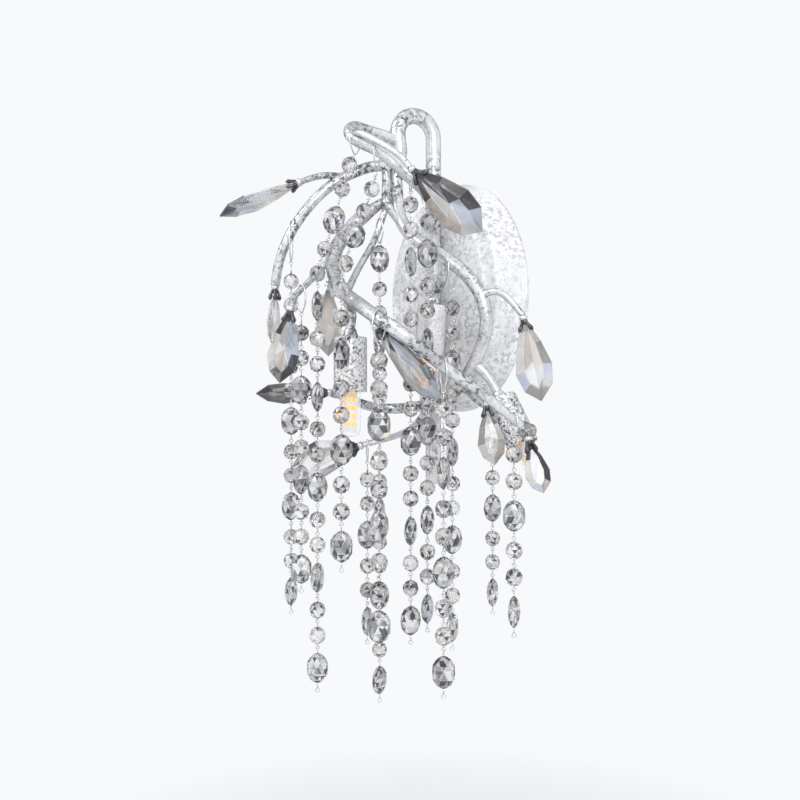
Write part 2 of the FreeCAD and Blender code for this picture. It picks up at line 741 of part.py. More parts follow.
arms = []
sockets = []
for name, (route, parent, aim) in LAMPS.items():
    aim = V(aim[0], -aim[1], aim[2]).normalize()
    points = [at(*p) for p in route]
    curve = curve_through(points, points[1] - points[0], aim * (points[-1] - points[-2]).Length)
    body = lofted(tube(stations(curve, 9), [(0, size("arm_radius")), (1, 0.85 * size("arm_radius"))], TWIG_SIDES))
    arms.append(coped(body, parent))
    frame = lamp_frame(points[-1], aim)
    print("lamp", name, "%.3f %.3f %.3f" % tuple(frame.Base), "axis %.4f %.4f %.4f" % tuple(aim))

    across = side_of(aim)
    aside = aim.cross(across)
    arms.append(lofted([
        ring_at(points[-1], across, aside, 12, size("cap_top_radius")),
        ring_at(frame.Base, across, aside, 12, size("cap_radius")),
    ]))

    length = size("cover_length")
    outer = post("cover_outer_" + name, frame, V(0, 0, -length), COVER_SIDES,
                 Circumradius="sizes.cover_radius", Height="sizes.cover_length")
    inner = post("cover_inner_" + name, frame, V(0, 0, -length), COVER_SIDES,
                 Circumradius="sizes.cover_radius - sizes.cover_wall",
                 Height="sizes.cover_length - sizes.cover_wall")
    hole = post("cover_hole_" + name, frame, V(0, 0, -2 * size("cover_wall")), SMALL_SIDES,
                Circumradius="sizes.nipple_radius + sizes.nipple_clearance",
                Height="3 * sizes.cover_wall")
    keep("lamp_cover_" + name, cut("lamp_cover_" + name, outer, [inner, hole]))

    top = -size("cover_wall")
    low = top - size("socket_length")
    ceramic = post("socket_body_" + name, frame, V(0, 0, low), BULB_SIDES,
                   Circumradius="sizes.socket_radius", Height="sizes.socket_length")
    nipple = post("socket_nipple_" + name, frame, V(0, 0, top), SMALL_SIDES,
                  Circumradius="sizes.nipple_radius", Height="sizes.cover_wall")
    pocket = primitive("Box", "socket_pocket_" + name, frame,
                       V(-size("pocket_width") / 2, -size("pocket_thickness") / 2, low),
                       Length="sizes.pocket_width", Width="sizes.pocket_thickness", Height="sizes.pocket_depth")
    whole = doc.addObject("Part::Fuse", "socket_whole_" + name)
    whole.Base = ceramic
    whole.Tool = nipple
    socket = cut("socket_" + name, whole, [pocket])
    doc.recompute()
    sockets.append(socket.Shape.copy())

    foot_width = size("pocket_width") - 2 * size("foot_clearance")
    foot_thick = size("pocket_thickness") - 2 * size("foot_clearance")
    foot = primitive("Box", "foot_" + name, frame, V(-foot_width / 2, -foot_thick / 2, low - 0.3),
                     Length="sizes.pocket_width - 2 * sizes.foot_clearance",
                     Width="sizes.pocket_thickness - 2 * sizes.foot_clearance", Height="sizes.foot_length")
    collar = post("collar_" + name, frame, V(0, 0, low - 0.3 - size("bulb_collar")), BULB_SIDES,
                  Circumradius="sizes.bulb_radius", Height="sizes.bulb_collar")
    base = doc.addObject("Part::Fuse", "bulb_whole_" + name)
    base.Base = collar
    base.Tool = foot
    bottom = low - 0.3 - size("bulb_length")
    board_top = low - 0.3 - size("bulb_collar")
    board_half = size("board_width") / 2
    board = primitive("Box", "board_" + name, frame,
                      V(-board_half, -board_half, bottom + 3),
                      Length="sizes.board_width", Width="sizes.board_width")
    board.Height = board_top - bottom - 3
    shell = doc.addObject("Part::Fuse", "bulb_base_" + name)
    shell.Base = base
    shell.Tool = board
    keep("bulb_base_" + name, shell)

    glass_outer = post("glass_outer_" + name, frame, V(0, 0, bottom), BULB_SIDES,
                       Circumradius="sizes.bulb_radius", Height="sizes.bulb_length - sizes.bulb_collar")
    glass_inner = post("glass_inner_" + name, frame, V(0, 0, bottom + size("bulb_wall")), BULB_SIDES,
                       Circumradius="sizes.bulb_radius - sizes.bulb_wall",
                       Height="sizes.bulb_length - sizes.bulb_collar")
    keep("bulb_cover_" + name, cut("bulb_cover_" + name, glass_outer, [glass_inner]))
keep_solids("lamp_arms", arms)
keep_solids("lamp_sockets", sockets)

# ---------------------------------------------------------------- canopy and bracket
def oval(out, half_height, half_width):
    """Corners of an upright oval at a distance from the wall."""
    turns = [2 * math.pi * (i + 0.5) / CANOPY_SIDES for i in range(CANOPY_SIDES)]
    return [V(half_width * math.cos(t), -out, half_height * math.sin(t)) for t in turns]


height, width = size("canopy_half_height"), size("canopy_half_width")
depth, taper, wall = size("canopy_depth"), size("canopy_taper"), size("canopy_wall")
inset = taper + size("canopy_step_inset")
canopy_outer = lofted([
    oval(0, height, width), oval(size("canopy_rim"), height, width), oval(depth, height - taper, width - taper),
])
canopy_step = lofted([
    oval(depth - 1, height - inset, width - inset), oval(raised_face, height - inset - 1, width - inset - 1),
])
canopy_inner = lofted([
    oval(-1, height - wall, width - wall), oval(size("canopy_rim"), height - wall, width - wall),
    oval(depth - wall, height - taper - wall, width - taper - wall),
])
OUTWARD = FreeCAD.Rotation(V(1, 0, 0), 90)


def outward(kind, label, x, out, z, **sizes):
    """A primitive whose local Z points out from the wall."""
    obj = doc.addObject("Part::" + kind, label)
    obj.Placement = FreeCAD.Placement(V(x, -out, z), OUTWARD)
    if kind == "Prism":
        obj.Polygon = SMALL_SIDES
    return bind(obj, **sizes)


stud_holes = []
for side in (1, -1):
    stud_holes.append(bind(
        outward("Prism", "stud_hole_%d" % side, 0, 15, 0,
                Circumradius="sizes.stud_radius + sizes.screw_clearance", Height="sizes.canopy_depth"),
        Placement__Base__z="%d * sizes.standoff_height" % side))
rim_out = size("rim_screw_out")
share = (rim_out - size("canopy_rim")) / (size("canopy_depth") - size("canopy_rim"))
rim_height = size("canopy_half_height") - share * size("canopy_taper")
rim_holes = []
for side in (1, -1):
    rim_holes.append(post("rim_hole_%d" % side, FreeCAD.Placement(), V(0, -rim_out, side * rim_height - 6),
                          SMALL_SIDES, Circumradius="sizes.rim_screw_radius + sizes.screw_clearance", Height="12"))
shell = doc.addObject("Part::Feature", "canopy_pressing")
shell.Shape = canopy_outer.fuse(canopy_step).cut(canopy_inner)
keep("canopy_shell", cut("canopy_shell", shell, stud_holes + rim_holes))

# Flat bar with two bent tabs.
tab_height = rim_height - 7.5
bar = doc.addObject("Part::Box", "bar")
bar.Placement.Base = V(-size("bracket_width") / 2, -size("bracket_sheet"), -tab_height)
bind(bar, Length="sizes.bracket_width", Width="sizes.bracket_sheet")
bar.Height = 2 * tab_height
tabs = []
for side in (1, -1):
    tab = doc.addObject("Part::Box", "tab_%d" % side)
    z = tab_height - size("bracket_sheet") if side > 0 else -tab_height
    tab.Placement.Base = V(-size("bracket_width") / 2, -size("bracket_tab"), z)
    tabs.append(bind(tab, Length="sizes.bracket_width", Width="sizes.bracket_tab", Height="sizes.bracket_sheet"))
bent = doc.addObject("Part::MultiFuse", "bent_bar")
bent.Shapes = [bar] + tabs
bar_holes = []
for side in (1, -1):
    bar_holes.append(bind(
        outward("Cylinder", "wall_hole_%d" % side, 0, -1, 0, Radius="sizes.wall_hole_radius", Height="10"),
        Placement__Base__z="%d * sizes.wall_hole_spacing / 2" % side))
    bar_holes.append(post("tapped_%d" % side, FreeCAD.Placement(), V(0, -rim_out, side * tab_height - 5),
                          SMALL_SIDES, Circumradius="1.09 * sizes.rim_screw_radius", Height="10"))
bar_holes.append(outward("Prism", "cable_hole", 0, -1, 0, Circumradius="sizes.cable_hole_radius", Height="10"))
keep("wall_bracket", cut("wall_bracket", bent, bar_holes))

# Screws through the canopy's top and bottom into the tabs.
rim_screws = []
for side in (1, -1):
    shank_start = V(0, -rim_out, side * (tab_height - size("bracket_sheet") - 2))
    head_start = V(0, -rim_out, side * (rim_height + 1.6))
    shank = prism_along(shank_start, head_start, size("rim_screw_radius"), SMALL_SIDES)
    head = prism_along(head_start, head_start + UP * (1.6 * side), size("rim_screw_head"), SMALL_SIDES)
    rim_screws.append(shank.fuse(head).removeSplitter())
keep_solids("canopy_screws", rim_screws)

block = doc.addObject("Part::Box", "terminal_block")
block.Placement.Base = V(-size("terminal_width") / 2, -size("bracket_sheet") - size("terminal_depth"), 12)
bind(block, Length="sizes.terminal_width", Width="sizes.terminal_depth", Height="sizes.terminal_height")
keep("terminal_block", block)

# Bosses between the raised centre and the stem, each with its stud and nut.
standoffs = []
for side in (1, -1):
    z = side * size("standoff_height")
    face, axis = V(0, -raised_face, z), V(0, -stem_out, z)
    boss = coped(prism_along(face, axis, size("standoff_radius"), 12), stem)
    stud = prism_along(face + V(0, size("stud_length"), 0), face, size("stud_radius"), SMALL_SIDES)
    standoffs.append(boss.fuse(stud).removeSplitter())
    seat = V(0, -(size("canopy_depth") - size("canopy_wall")), z)
    nut = prism_along(seat, seat + V(0, size("nut_height"), 0), size("nut_radius"), 6)
    bore = prism_along(seat - V(0, 10, 0), seat + V(0, 10, 0), size("stud_radius") + 0.05, SMALL_SIDES)
    standoffs.append(nut.cut(bore))
keep_solids("stem_standoffs", standoffs)

# ---------------------------------------------------------------- check and write
doc.recompute()
faulty = [o.Name for o in doc.Objects if "Invalid" in o.State or "Error" in o.State]
if faulty:
    raise RuntimeError("objects that failed: %s" % ", ".join(faulty))
for label, obj in nodes.items():
    if obj.Shape.isNull() or not obj.Shape.isValid() or not obj.Shape.Solids:
        raise RuntimeError("bad shape: " + label)
os.makedirs("parts", exist_ok=True)
for label, obj in nodes.items():
    obj.Shape.exportStep("parts/%s.step" % label)
print(len(nodes), "nodes,", sum(len(o.Shape.Solids) for o in nodes.values()), "solids")
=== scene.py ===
import bpy
import json
import math
import random
import numpy as np
from mathutils import Matrix, Vector


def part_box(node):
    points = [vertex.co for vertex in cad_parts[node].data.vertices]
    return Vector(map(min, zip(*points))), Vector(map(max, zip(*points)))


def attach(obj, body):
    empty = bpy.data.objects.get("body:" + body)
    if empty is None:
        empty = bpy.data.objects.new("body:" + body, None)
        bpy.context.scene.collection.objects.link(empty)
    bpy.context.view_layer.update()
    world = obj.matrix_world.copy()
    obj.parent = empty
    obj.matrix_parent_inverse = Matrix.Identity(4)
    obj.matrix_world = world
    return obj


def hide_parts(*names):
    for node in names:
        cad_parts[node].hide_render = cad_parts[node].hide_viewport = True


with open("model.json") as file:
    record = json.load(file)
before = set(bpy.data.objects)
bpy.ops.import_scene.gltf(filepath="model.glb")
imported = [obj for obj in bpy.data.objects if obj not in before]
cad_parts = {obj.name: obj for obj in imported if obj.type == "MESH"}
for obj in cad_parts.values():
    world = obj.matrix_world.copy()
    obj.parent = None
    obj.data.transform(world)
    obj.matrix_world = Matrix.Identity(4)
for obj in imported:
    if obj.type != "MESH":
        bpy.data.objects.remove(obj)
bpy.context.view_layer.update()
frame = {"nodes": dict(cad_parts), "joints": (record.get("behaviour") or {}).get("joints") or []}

mm = 0.001
stemOut = 40  # wall to the stem's axis, mm
upward = Vector((0, 0, 1))
square = ((-1, -1), (1, -1), (1, 1), (-1, 1))
sides = {  # of each round form, all the way round
    "stem": 28, "vine": 24, "twig": 14, "clasp": 14, "knob": 9, "claw": 10, "ferrule": 11,
    "eye": 14, "eyeWire": 6, "twist": 7, "hook": 22, "hookWire": 8, "arm": 20, "cap": 32,
    "cover": 48, "bulb": 36, "canopy": 96}
boxFaces = [(0, 1, 5, 4), (1, 2, 6, 5), (2, 3, 7, 6), (3, 0, 4, 7), (3, 2, 1, 0), (4, 5, 6, 7)]


def at(x, forward, z):  # a point of the vine, measured forward from the stem
    return Vector((x, -(stemOut + forward), z)) * mm


class Bag:  # verts, faces and crystal tones of many small forms that end up in one mesh
    def __init__(self):
        self.verts = []
        self.faces = []
        self.tones = []

    def add(self, verts, faces, tones=None):
        base = len(self.verts)
        self.verts += [Vector(v) for v in verts]
        self.faces += [tuple(base + i for i in face) for face in faces]
        self.tones += tones or [0] * len(faces)


def addObject(name, data):
    thing = bpy.data.objects.new(name, data)
    bpy.context.collection.objects.link(thing)
    return thing


def makePiece(name, bag, body, finish, stands=(), smooth=True, sharpFrom=None):
    # finish is one material, or the list that the bag's tones count in
    mesh = bpy.data.meshes.new(name)
    mesh.from_pydata([tuple(v) for v in bag.verts], [], bag.faces)
    for material in finish if isinstance(finish, list) else [finish]:
        mesh.materials.append(material)
    mesh.polygons.foreach_set("material_index", bag.tones)
    if smooth:
        mesh.shade_smooth()
    mesh.validate()
    if sharpFrom is not None:
        mesh.set_sharp_from_angle(angle=math.radians(sharpFrom))
    piece = addObject(name, mesh)
    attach(piece, body)
    if stands:
        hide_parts(*stands)
    return piece


def splineThrough(points, perSpan=10, startAim=None, endAim=None):
    # a smooth line through given points, spaced by the distance between them
    pts = np.array([tuple(p) for p in points])
    run = np.concatenate([[0], np.cumsum(np.linalg.norm(np.diff(pts, axis=0), axis=1))])
    count = len(pts)
    step = np.diff(run)
    matrix = np.zeros((count, count))
    right = np.zeros((count, 3))
    for i in range(1, count - 1):
        matrix[i, i - 1:i + 2] = step[i - 1], 2 * (step[i - 1] + step[i]), step[i]
        right[i] = 6 * ((pts[i + 1] - pts[i]) / step[i] - (pts[i] - pts[i - 1]) / step[i - 1])
    matrix[0, 0] = matrix[-1, -1] = 1
    if startAim is not None:
        matrix[0, :2] = 2 * step[0], step[0]
        right[0] = 6 * ((pts[1] - pts[0]) / step[0] - np.array(startAim))
    if endAim is not None:
        matrix[-1, -2:] = step[-1], 2 * step[-1]
        right[-1] = 6 * (np.array(endAim) - (pts[-1] - pts[-2]) / step[-1])
    bend = np.linalg.solve(matrix, right)
    line = []
    for i in range(count - 1):
        width = step[i]
        for k in range(perSpan + (i == count - 2)):
            t = width * k / perSpan
            a = (width - t) / width
            b = t / width
            point = a * pts[i] + b * pts[i + 1]
            point = point + ((a ** 3 - a) * bend[i] + (b ** 3 - b) * bend[i + 1]) * width ** 2 / 6
            line.append(Vector(point))
    return line


def sideOf(along):
    guide = Vector((0, 1, 0)) if abs(along.y) < 0.9 else Vector((1, 0, 0))
    return (guide - along * guide.dot(along)).normalized()


def valueAt(pairs, share):
    for (a, low), (b, high) in zip(pairs, pairs[1:]):
        if share <= b:
            return low + (high - low) * (share - a) / max(b - a, 1e-9)
    return pairs[-1][1]


def runOf(line):  # distance along the line at each of its points
    run = [0.0]
    for a, b in zip(line, line[1:]):
        run.append(run[-1] + (b - a).length)
    return run


def turnsOf(count):  # cosine and sine of evenly spaced turns
    turns = [2 * math.pi * k / count for k in range(count)]
    return [(math.cos(turn), math.sin(turn)) for turn in turns]


def circleOf(centre, first, second, radius, around):
    return [centre + first * (radius * c) + second * (radius * s) for c, s in turnsOf(around)]


def ringFaces(count, around, closed=False, capped=False):
    faces = []
    for i in range(count if closed else count - 1):
        low, high = i * around, (i + 1) % count * around
        for k in range(around):
            j = (k + 1) % around
            faces.append((low + k, low + j, high + j, high + k))
    if capped:
        faces.append(tuple(range(around))[::-1])
        faces.append(tuple((count - 1) * around + k for k in range(around)))
    return faces


def tubeInto(bag, line, radii, around, closed=False):
    # a round tube along a line; radii are (share of the length, mm) pairs
    count = len(line)
    run = runOf(line)
    verts = []
    across = None
    for i, point in enumerate(line):
        if closed:
            along = (line[(i + 1) % count] - line[i - 1]).normalized()
        else:
            along = (line[min(i + 1, count - 1)] - line[max(i - 1, 0)]).normalized()
        if across is None:
            across = sideOf(along)
        else:
            across = (across - along * across.dot(along)).normalized()
        radius = valueAt(radii, run[i] / max(run[-1], 1e-9)) * mm
        verts += circleOf(point, across, along.cross(across), radius, around)
    bag.add(verts, ringFaces(count, around, closed, not closed))


def lathe(bag, profile, origin, aim, around, across=None, capped=True):
    # profile: (distance along aim, radius) pairs in mm, joined from first to last
    across = across or sideOf(aim)
    aside = aim.cross(across)
    verts = []
    for run, radius in profile:
        verts += circleOf(origin + aim * (run * mm), across, aside, radius * mm, around)
    bag.add(verts, ringFaces(len(profile), around, False, capped))


def boxInto(bag, centre, first, second, third, sizes):  # half sizes in mm
    wide, deep, tall = sizes
    bag.add([centre + (first * (a * wide) + second * (b * deep) + third * (c * tall)) * mm
             for c in (-1, 1) for a, b in square], boxFaces)


def newMaterial(name):
    material = bpy.data.materials.new(name)
    material.use_nodes = True
    return material, material.node_tree, material.node_tree.nodes["Principled BSDF"]


def makeGroup(name, inputs, outputs):
    group = bpy.data.node_groups.new(name, "ShaderNodeTree")
    for label, value in inputs.items():
        kind = "NodeSocketColor" if isinstance(value, tuple) else "NodeSocketFloat"
        socket = group.interface.new_socket(label, in_out="INPUT", socket_type=kind)
        socket.default_value = (*value, 1) if isinstance(value, tuple) else value
    for label, kind in outputs.items():
        group.interface.new_socket(label, in_out="OUTPUT", socket_type="NodeSocket" + kind)
    inside = group.nodes.new("NodeGroupInput")
    outside = group.nodes.new("NodeGroupOutput")
    return group, inside.outputs, outside.inputs


def placeGroup(tree, group, looks):  # looks hold a value for each input of the group
    node = tree.nodes.new("ShaderNodeGroup")
    node.node_tree = group
    for socket in node.inputs:
        value = looks[socket.name]
        socket.default_value = (*value, 1) if isinstance(value, tuple) else value
    return node.outputs


def addNode(tree, kind, **values):
    node = tree.nodes.new(kind)
    for key, value in values.items():
        if key in node.inputs:
            node.inputs[key].default_value = value
        else:
            setattr(node, key, value)
    return node


def feed(tree, source, socket):  # a link from another node, or a fixed value
    if isinstance(source, bpy.types.NodeSocket):
        tree.links.new(source, socket)
    else:
        socket.default_value = source


def feedAll(tree, node, sources):  # by the names of the node's inputs
    for label, source in sources.items():
        feed(tree, source, node.inputs[label])


def maths(tree, operation, *sources):
    node = addNode(tree, "ShaderNodeMath", operation=operation)
    for source, socket in zip(sources, node.inputs):
        feed(tree, source, socket)
    return node.outputs[0]


def blendColors(tree, share, first, second, blend="MIX"):
    node = addNode(tree, "ShaderNodeMix", data_type="RGBA", blend_type=blend)
    for index, source in ((0, share), (6, first), (7, second)):
        feed(tree, source, node.inputs[index])
    return node.outputs[2]


def noiseOf(tree, scale, **values):
    place = addNode(tree, "ShaderNodeTexCoord")
    node = addNode(tree, "ShaderNodeTexNoise", **values)
    tree.links.new(place.outputs["Object"], node.inputs["Vector"])
    feed(tree, scale, node.inputs["Scale"])
    return node.outputs["Fac"]


def ramp(tree, share, stops):  # stops are (position, grey value) pairs
    node = tree.nodes.new("ShaderNodeValToRGB")
    elements = node.color_ramp.elements
    while len(elements) < len(stops):
        elements.new(0.5)
    for element, (position, value) in zip(elements, stops):
        element.position = position
        element.color = (value, value, value, 1)
    tree.links.new(share, node.inputs["Fac"])
    return node.outputs["Color"]


wearLooks = {
    "patches": [(0.0, 1.0), (0.42, 0.8), (0.52, 0.2), (0.62, 0.0)],
    "dots": [(0.0, 1.0), (0.44, 0.95), (0.5, 0.2), (0.56, 0.0)],
    "areas": [(0.4, 1.4), (0.5, 0.9), (0.6, 0.3)],
    "dotScale": 4.5, "areaScale": 0.42, "cleanRough": 0.24, "wornRough": 0.3, "wornSink": -0.6,
}
cloudLooks = {"stops": [(0.3, 0.0), (0.7, 1.0)], "clearRough": 0.035, "paleRough": -0.12,
              "grainBump": 0.15, "grainDepth": 0.0002}
# how far the painted edge shade blends on silver and on crystal, and where along the facing it
# starts and is full
paintedEdgeLooks = {"silver": 0.35, "crystal": 0.5, "start": 0.3, "full": 0.8}


def buildLeafGroup():
    # antiqued silver leaf: dark worn patches and small specks, more in some areas than in others
    group, inside, outside = makeGroup(
        "silverLeaf",
        {"Pale": (0.8, 0.81, 0.83), "Dark": (0.2, 0.2, 0.21), "Scale": 60.0, "Wear": 0.5,
         "Specks": 0.5, "Blotch": 0.5},
        {"Color": "Color", "Roughness": "Float", "Height": "Float"})
    scale = inside["Scale"]
    cloud = noiseOf(group, scale, Detail=5.0, Roughness=0.62)
    speck = noiseOf(group, maths(group, "MULTIPLY", scale, wearLooks["dotScale"]), Detail=3.0,
                    Roughness=0.7, Distortion=0.6)
    broad = noiseOf(group, maths(group, "MULTIPLY", scale, wearLooks["areaScale"]), Detail=1.0)
    patches = ramp(group, cloud, wearLooks["patches"])
    dots = ramp(group, speck, wearLooks["dots"])
    areas = addNode(group, "ShaderNodeMix", data_type="FLOAT")
    areas.inputs[2].default_value = 1.0
    group.links.new(inside["Blotch"], areas.inputs[0])
    group.links.new(ramp(group, broad, wearLooks["areas"]), areas.inputs[3])
    patchWear = maths(group, "MULTIPLY", inside["Wear"], areas.outputs[0])
    dotWear = maths(group, "MULTIPLY", inside["Specks"], areas.outputs[0])
    worn = maths(group, "MAXIMUM", maths(group, "MULTIPLY", patches, patchWear),
                 maths(group, "MULTIPLY", dots, dotWear))
    feed(group, blendColors(group, worn, inside["Pale"], inside["Dark"]), outside["Color"])
    rough = maths(group, "MULTIPLY_ADD", worn, wearLooks["wornRough"], wearLooks["cleanRough"])
    feed(group, rough, outside["Roughness"])
    height = maths(group, "MULTIPLY_ADD", worn, wearLooks["wornSink"], cloud)
    feed(group, height, outside["Height"])
    return group


def cloudColors(group, inside, outside, grain, pair, rough):
    # from the first to the second color of the pair; rough is the change of roughness with it
    share = ramp(group, grain, cloudLooks["stops"])
    color = blendColors(group, share, inside[pair[0]], inside[pair[1]])
    feed(group, color, outside["Color"])
    feed(group, maths(group, "MULTIPLY_ADD", share, rough, inside["Polish"]), outside["Roughness"])


def buildCloudGroup():
    # a faint cloud of tint and polish, for crystal, clear plastic and the light chips
    group, inside, outside = makeGroup(
        "faintCloud",
        {"Deep": (0.8, 0.8, 0.8), "Clear": (1.0, 1.0, 1.0), "Scale": 45.0, "Polish": 0.015},
        {"Color": "Color", "Roughness": "Float"})
    grain = noiseOf(group, inside["Scale"], Detail=2.0)
    cloudColors(group, inside, outside, grain, ("Deep", "Clear"), cloudLooks["clearRough"])
    return group


def buildPolishGroup():
    # fine uneven polish of drawn wire, cast metal, ceramic and moulded plastic
    group, inside, outside = makeGroup(
        "finePolish",
        {"Deep": (0.6, 0.6, 0.6), "Pale": (0.8, 0.8, 0.8), "Scale": 300.0, "Polish": 0.2},
        {"Color": "Color", "Roughness": "Float", "Normal": "Vector"})
    grain = noiseOf(group, inside["Scale"], Detail=3.0)
    cloudColors(group, inside, outside, grain, ("Deep", "Pale"), cloudLooks["paleRough"])
    bump = addNode(group, "ShaderNodeBump", Strength=cloudLooks["grainBump"],
                   Distance=cloudLooks["grainDepth"])
    group.links.new(grain, bump.inputs["Height"])
    feed(group, bump.outputs["Normal"], outside["Normal"])
    return group


leafGroup = buildLeafGroup()
cloudGroup = buildCloudGroup()
polishGroup = buildPolishGroup()


def looksTable(labels, rows):  # looks by name, one row each
    return {name: dict(zip(labels.split(), values)) for name, *values in rows}


def paintedEdgeShade(tree, color, blend, rim):  # rim is how far the edges darken
    # painted shade: the colour is darkened where the surface turns away from the camera, standing
    # in for the dark edges that polished silver and cut glass show by reflection
    edge = addNode(tree, "ShaderNodeLayerWeight", Blend=blend)
    stops = [(paintedEdgeLooks["start"], 1.0), (paintedEdgeLooks["full"], 1 - rim)]
    shade = ramp(tree, edge.outputs["Facing"], stops)
    return blendColors(tree, 1.0, color, shade, "MULTIPLY")


def silverMaterial(name, looks):
    material, tree, shader = newMaterial(name)
    leaf = placeGroup(tree, leafGroup, looks)
    bump = addNode(tree, "ShaderNodeBump", Strength=looks["bump"], Distance=looks["depth"])
    tree.links.new(leaf["Height"], bump.inputs["Height"])
    # base colour with painted edge shade
    feedAll(tree, shader, {
        "Base Color": paintedEdgeShade(tree, leaf["Color"], paintedEdgeLooks["silver"], looks["rim"]),
        "Roughness": leaf["Roughness"], "Normal": bump.outputs["Normal"],
        "Metallic": looks["metal"]})
    return material


# rim in each finish is how far its painted edge shade darkens the edges
tubeLooks = {"Pale": (0.82, 0.83, 0.85), "Dark": (0.13, 0.13, 0.14), "Scale": 62.0, "Wear": 0.42,
             "Specks": 0.74, "Blotch": 0.9, "bump": 0.25, "depth": 0.0006, "metal": 0.6, "rim": 0.8}
canopyLooks = {"Pale": (0.9, 0.91, 0.93), "Dark": (0.4, 0.4, 0.42), "Scale": 58.0, "Wear": 0.4,
               "Specks": 0.7, "Blotch": 0.4, "bump": 0.2, "depth": 0.0006, "metal": 0.0, "rim": 0.5}
coverLooks = {"Pale": (0.97, 0.97, 0.98), "Dark": (0.05, 0.05, 0.05), "Scale": 120.0, "Wear": 0.3,
              "Specks": 0.95, "Blotch": 0.3, "bump": 0.25, "depth": 0.0006, "metal": 0.15,
              "rim": 0.5}
# painted light: the middle lamp's cover gets a whiter, less speckled copy of the cover finish, so
# it reads lit where it sits in shade
paintedLitCoverLooks = {**coverLooks, "Pale": (1.0, 1.0, 1.0), "Scale": 190.0, "Wear": 0.1,
                  "Specks": 0.5, "metal": 0.0, "rim": 0.75}
ferruleLooks = {"Pale": (0.62, 0.62, 0.6), "Dark": (0.12, 0.12, 0.11), "Scale": 110.0,
                "Wear": 0.9, "Specks": 0.8, "Blotch": 0.0, "bump": 0.8, "depth": 0.0015,
                "metal": 0.9, "rim": 0.4}
silverTube = silverMaterial("silverTube", tubeLooks)
silverCanopy = silverMaterial("silverCanopy", canopyLooks)
silverCover = silverMaterial("silverCover", coverLooks)
paintedLitCover = silverMaterial("paintedLitCover", paintedLitCoverLooks)
silverFerrule = silverMaterial("silverFerrule", ferruleLooks)

# cut crystal in six tones; through is how much light passes, rim how far the painted edge shade
# darkens its edges. The tones are partly the crystal's own tint, warm and lilac above all, and
# partly painted light: the near-white tone stands for painted highlights and the mid-grey and
# near-black tones for painted dark reflections.
crystalLooks = {"Scale": 45.0, "Polish": 0.015, "bend": 1.5, "coat": 0.4, "coatRough": 0.02}
crystalTones = looksTable("Deep Clear through rim", [
    ("clear", (0.86, 0.86, 0.88), (0.99, 0.99, 1.0), 0.9, 0.5),
    ("pale", (0.62, 0.61, 0.59), (0.87, 0.86, 0.84), 0.62, 0.5),
    ("smoke", (0.28, 0.27, 0.26), (0.5, 0.49, 0.47), 0.8, 0.6),
    ("dark", (0.015, 0.015, 0.02), (0.09, 0.09, 0.11), 0.6, 0.6),
    ("warm", (0.44, 0.38, 0.34), (0.74, 0.67, 0.62), 0.65, 0.5),
    ("lilac", (0.46, 0.5, 0.6), (0.72, 0.76, 0.85), 0.6, 0.5),
])
toneLetters = "".join(name[0] for name in crystalTones)


def crystalMaterial(name, looks):
    material, tree, shader = newMaterial(name)
    cloud = placeGroup(tree, cloudGroup, looks)
    # base colour with painted edge shade
    feedAll(tree, shader, {
        "Base Color": paintedEdgeShade(tree, cloud["Color"], paintedEdgeLooks["crystal"], looks["rim"]),
        "Roughness": cloud["Roughness"], "Transmission Weight": looks["through"],
        "IOR": looks["bend"], "Coat Weight": looks["coat"], "Coat Roughness": looks["coatRough"]})
    return material


crystals = [crystalMaterial(name + "Crystal", {**crystalLooks, **tone})
            for name, tone in crystalTones.items()]

polishedLooks = looksTable("Deep Pale Scale Polish metal", [
    ("strandWire", (0.6, 0.61, 0.63), (0.78, 0.79, 0.81), 300.0, 0.28, 1.0),
    ("darkClasp", (0.04, 0.04, 0.045), (0.16, 0.16, 0.17), 220.0, 0.32, 0.85),
    ("zincSteel", (0.54, 0.55, 0.57), (0.72, 0.73, 0.75), 180.0, 0.42, 1.0),
    ("blockPlastic", (0.85, 0.85, 0.82), (0.9, 0.9, 0.87), 500.0, 0.57, 0.0),
    ("whiteCeramic", (0.86, 0.85, 0.81), (0.92, 0.91, 0.87), 140.0, 0.34, 0.0),
    ("bulbPlastic", (0.85, 0.87, 0.9), (0.9, 0.92, 0.95), 400.0, 0.42, 0.0),
])


def polishedMaterial(name, looks):
    material, tree, shader = newMaterial(name)
    polish = placeGroup(tree, polishGroup, looks)
    feedAll(tree, shader, {"Base Color": polish["Color"], "Roughness": polish["Roughness"],
                           "Normal": polish["Normal"], "Metallic": looks["metal"]})
    return material


strandWire, darkClasp, zincSteel, blockPlastic, whiteCeramic, bulbPlastic = [
    polishedMaterial(name, looks) for name, looks in polishedLooks.items()]

clearLooks = {"Deep": (0.9, 0.92, 0.95), "Clear": (0.97, 0.98, 1.0), "Scale": 120.0,
              "Polish": 0.03, "bend": 1.12, "alpha": 0.45}
chipLooks = {"Scale": 350.0, "Polish": 0.4, "deeper": 0.8}


def clearCoverMaterial(looks):
    material, tree, shader = newMaterial("bulbClear")
    haze = placeGroup(tree, cloudGroup, looks)
    feedAll(tree, shader, {
        "Base Color": haze["Color"], "Roughness": haze["Roughness"], "Transmission Weight": 1.0,
        "IOR": looks["bend"], "Alpha": looks["alpha"]})
    return material


def glowMaterial(name, color, strength):
    material, tree, shader = newMaterial(name)
    deep = tuple(c * chipLooks["deeper"] for c in color)
    spot = placeGroup(tree, cloudGroup, {**chipLooks, "Deep": deep, "Clear": color})
    feedAll(tree, shader, {
        "Base Color": spot["Color"], "Emission Color": spot["Color"],
        "Roughness": spot["Roughness"], "Emission Strength": strength})
    return material


bulbClear = clearCoverMaterial(clearLooks)
chipGlow = glowMaterial("chipGlow", (1.0, 0.42, 0.08), 1.1)
chipPale = glowMaterial("chipPale", (0.98, 0.66, 0.36), 0.35)
print("materials ready")

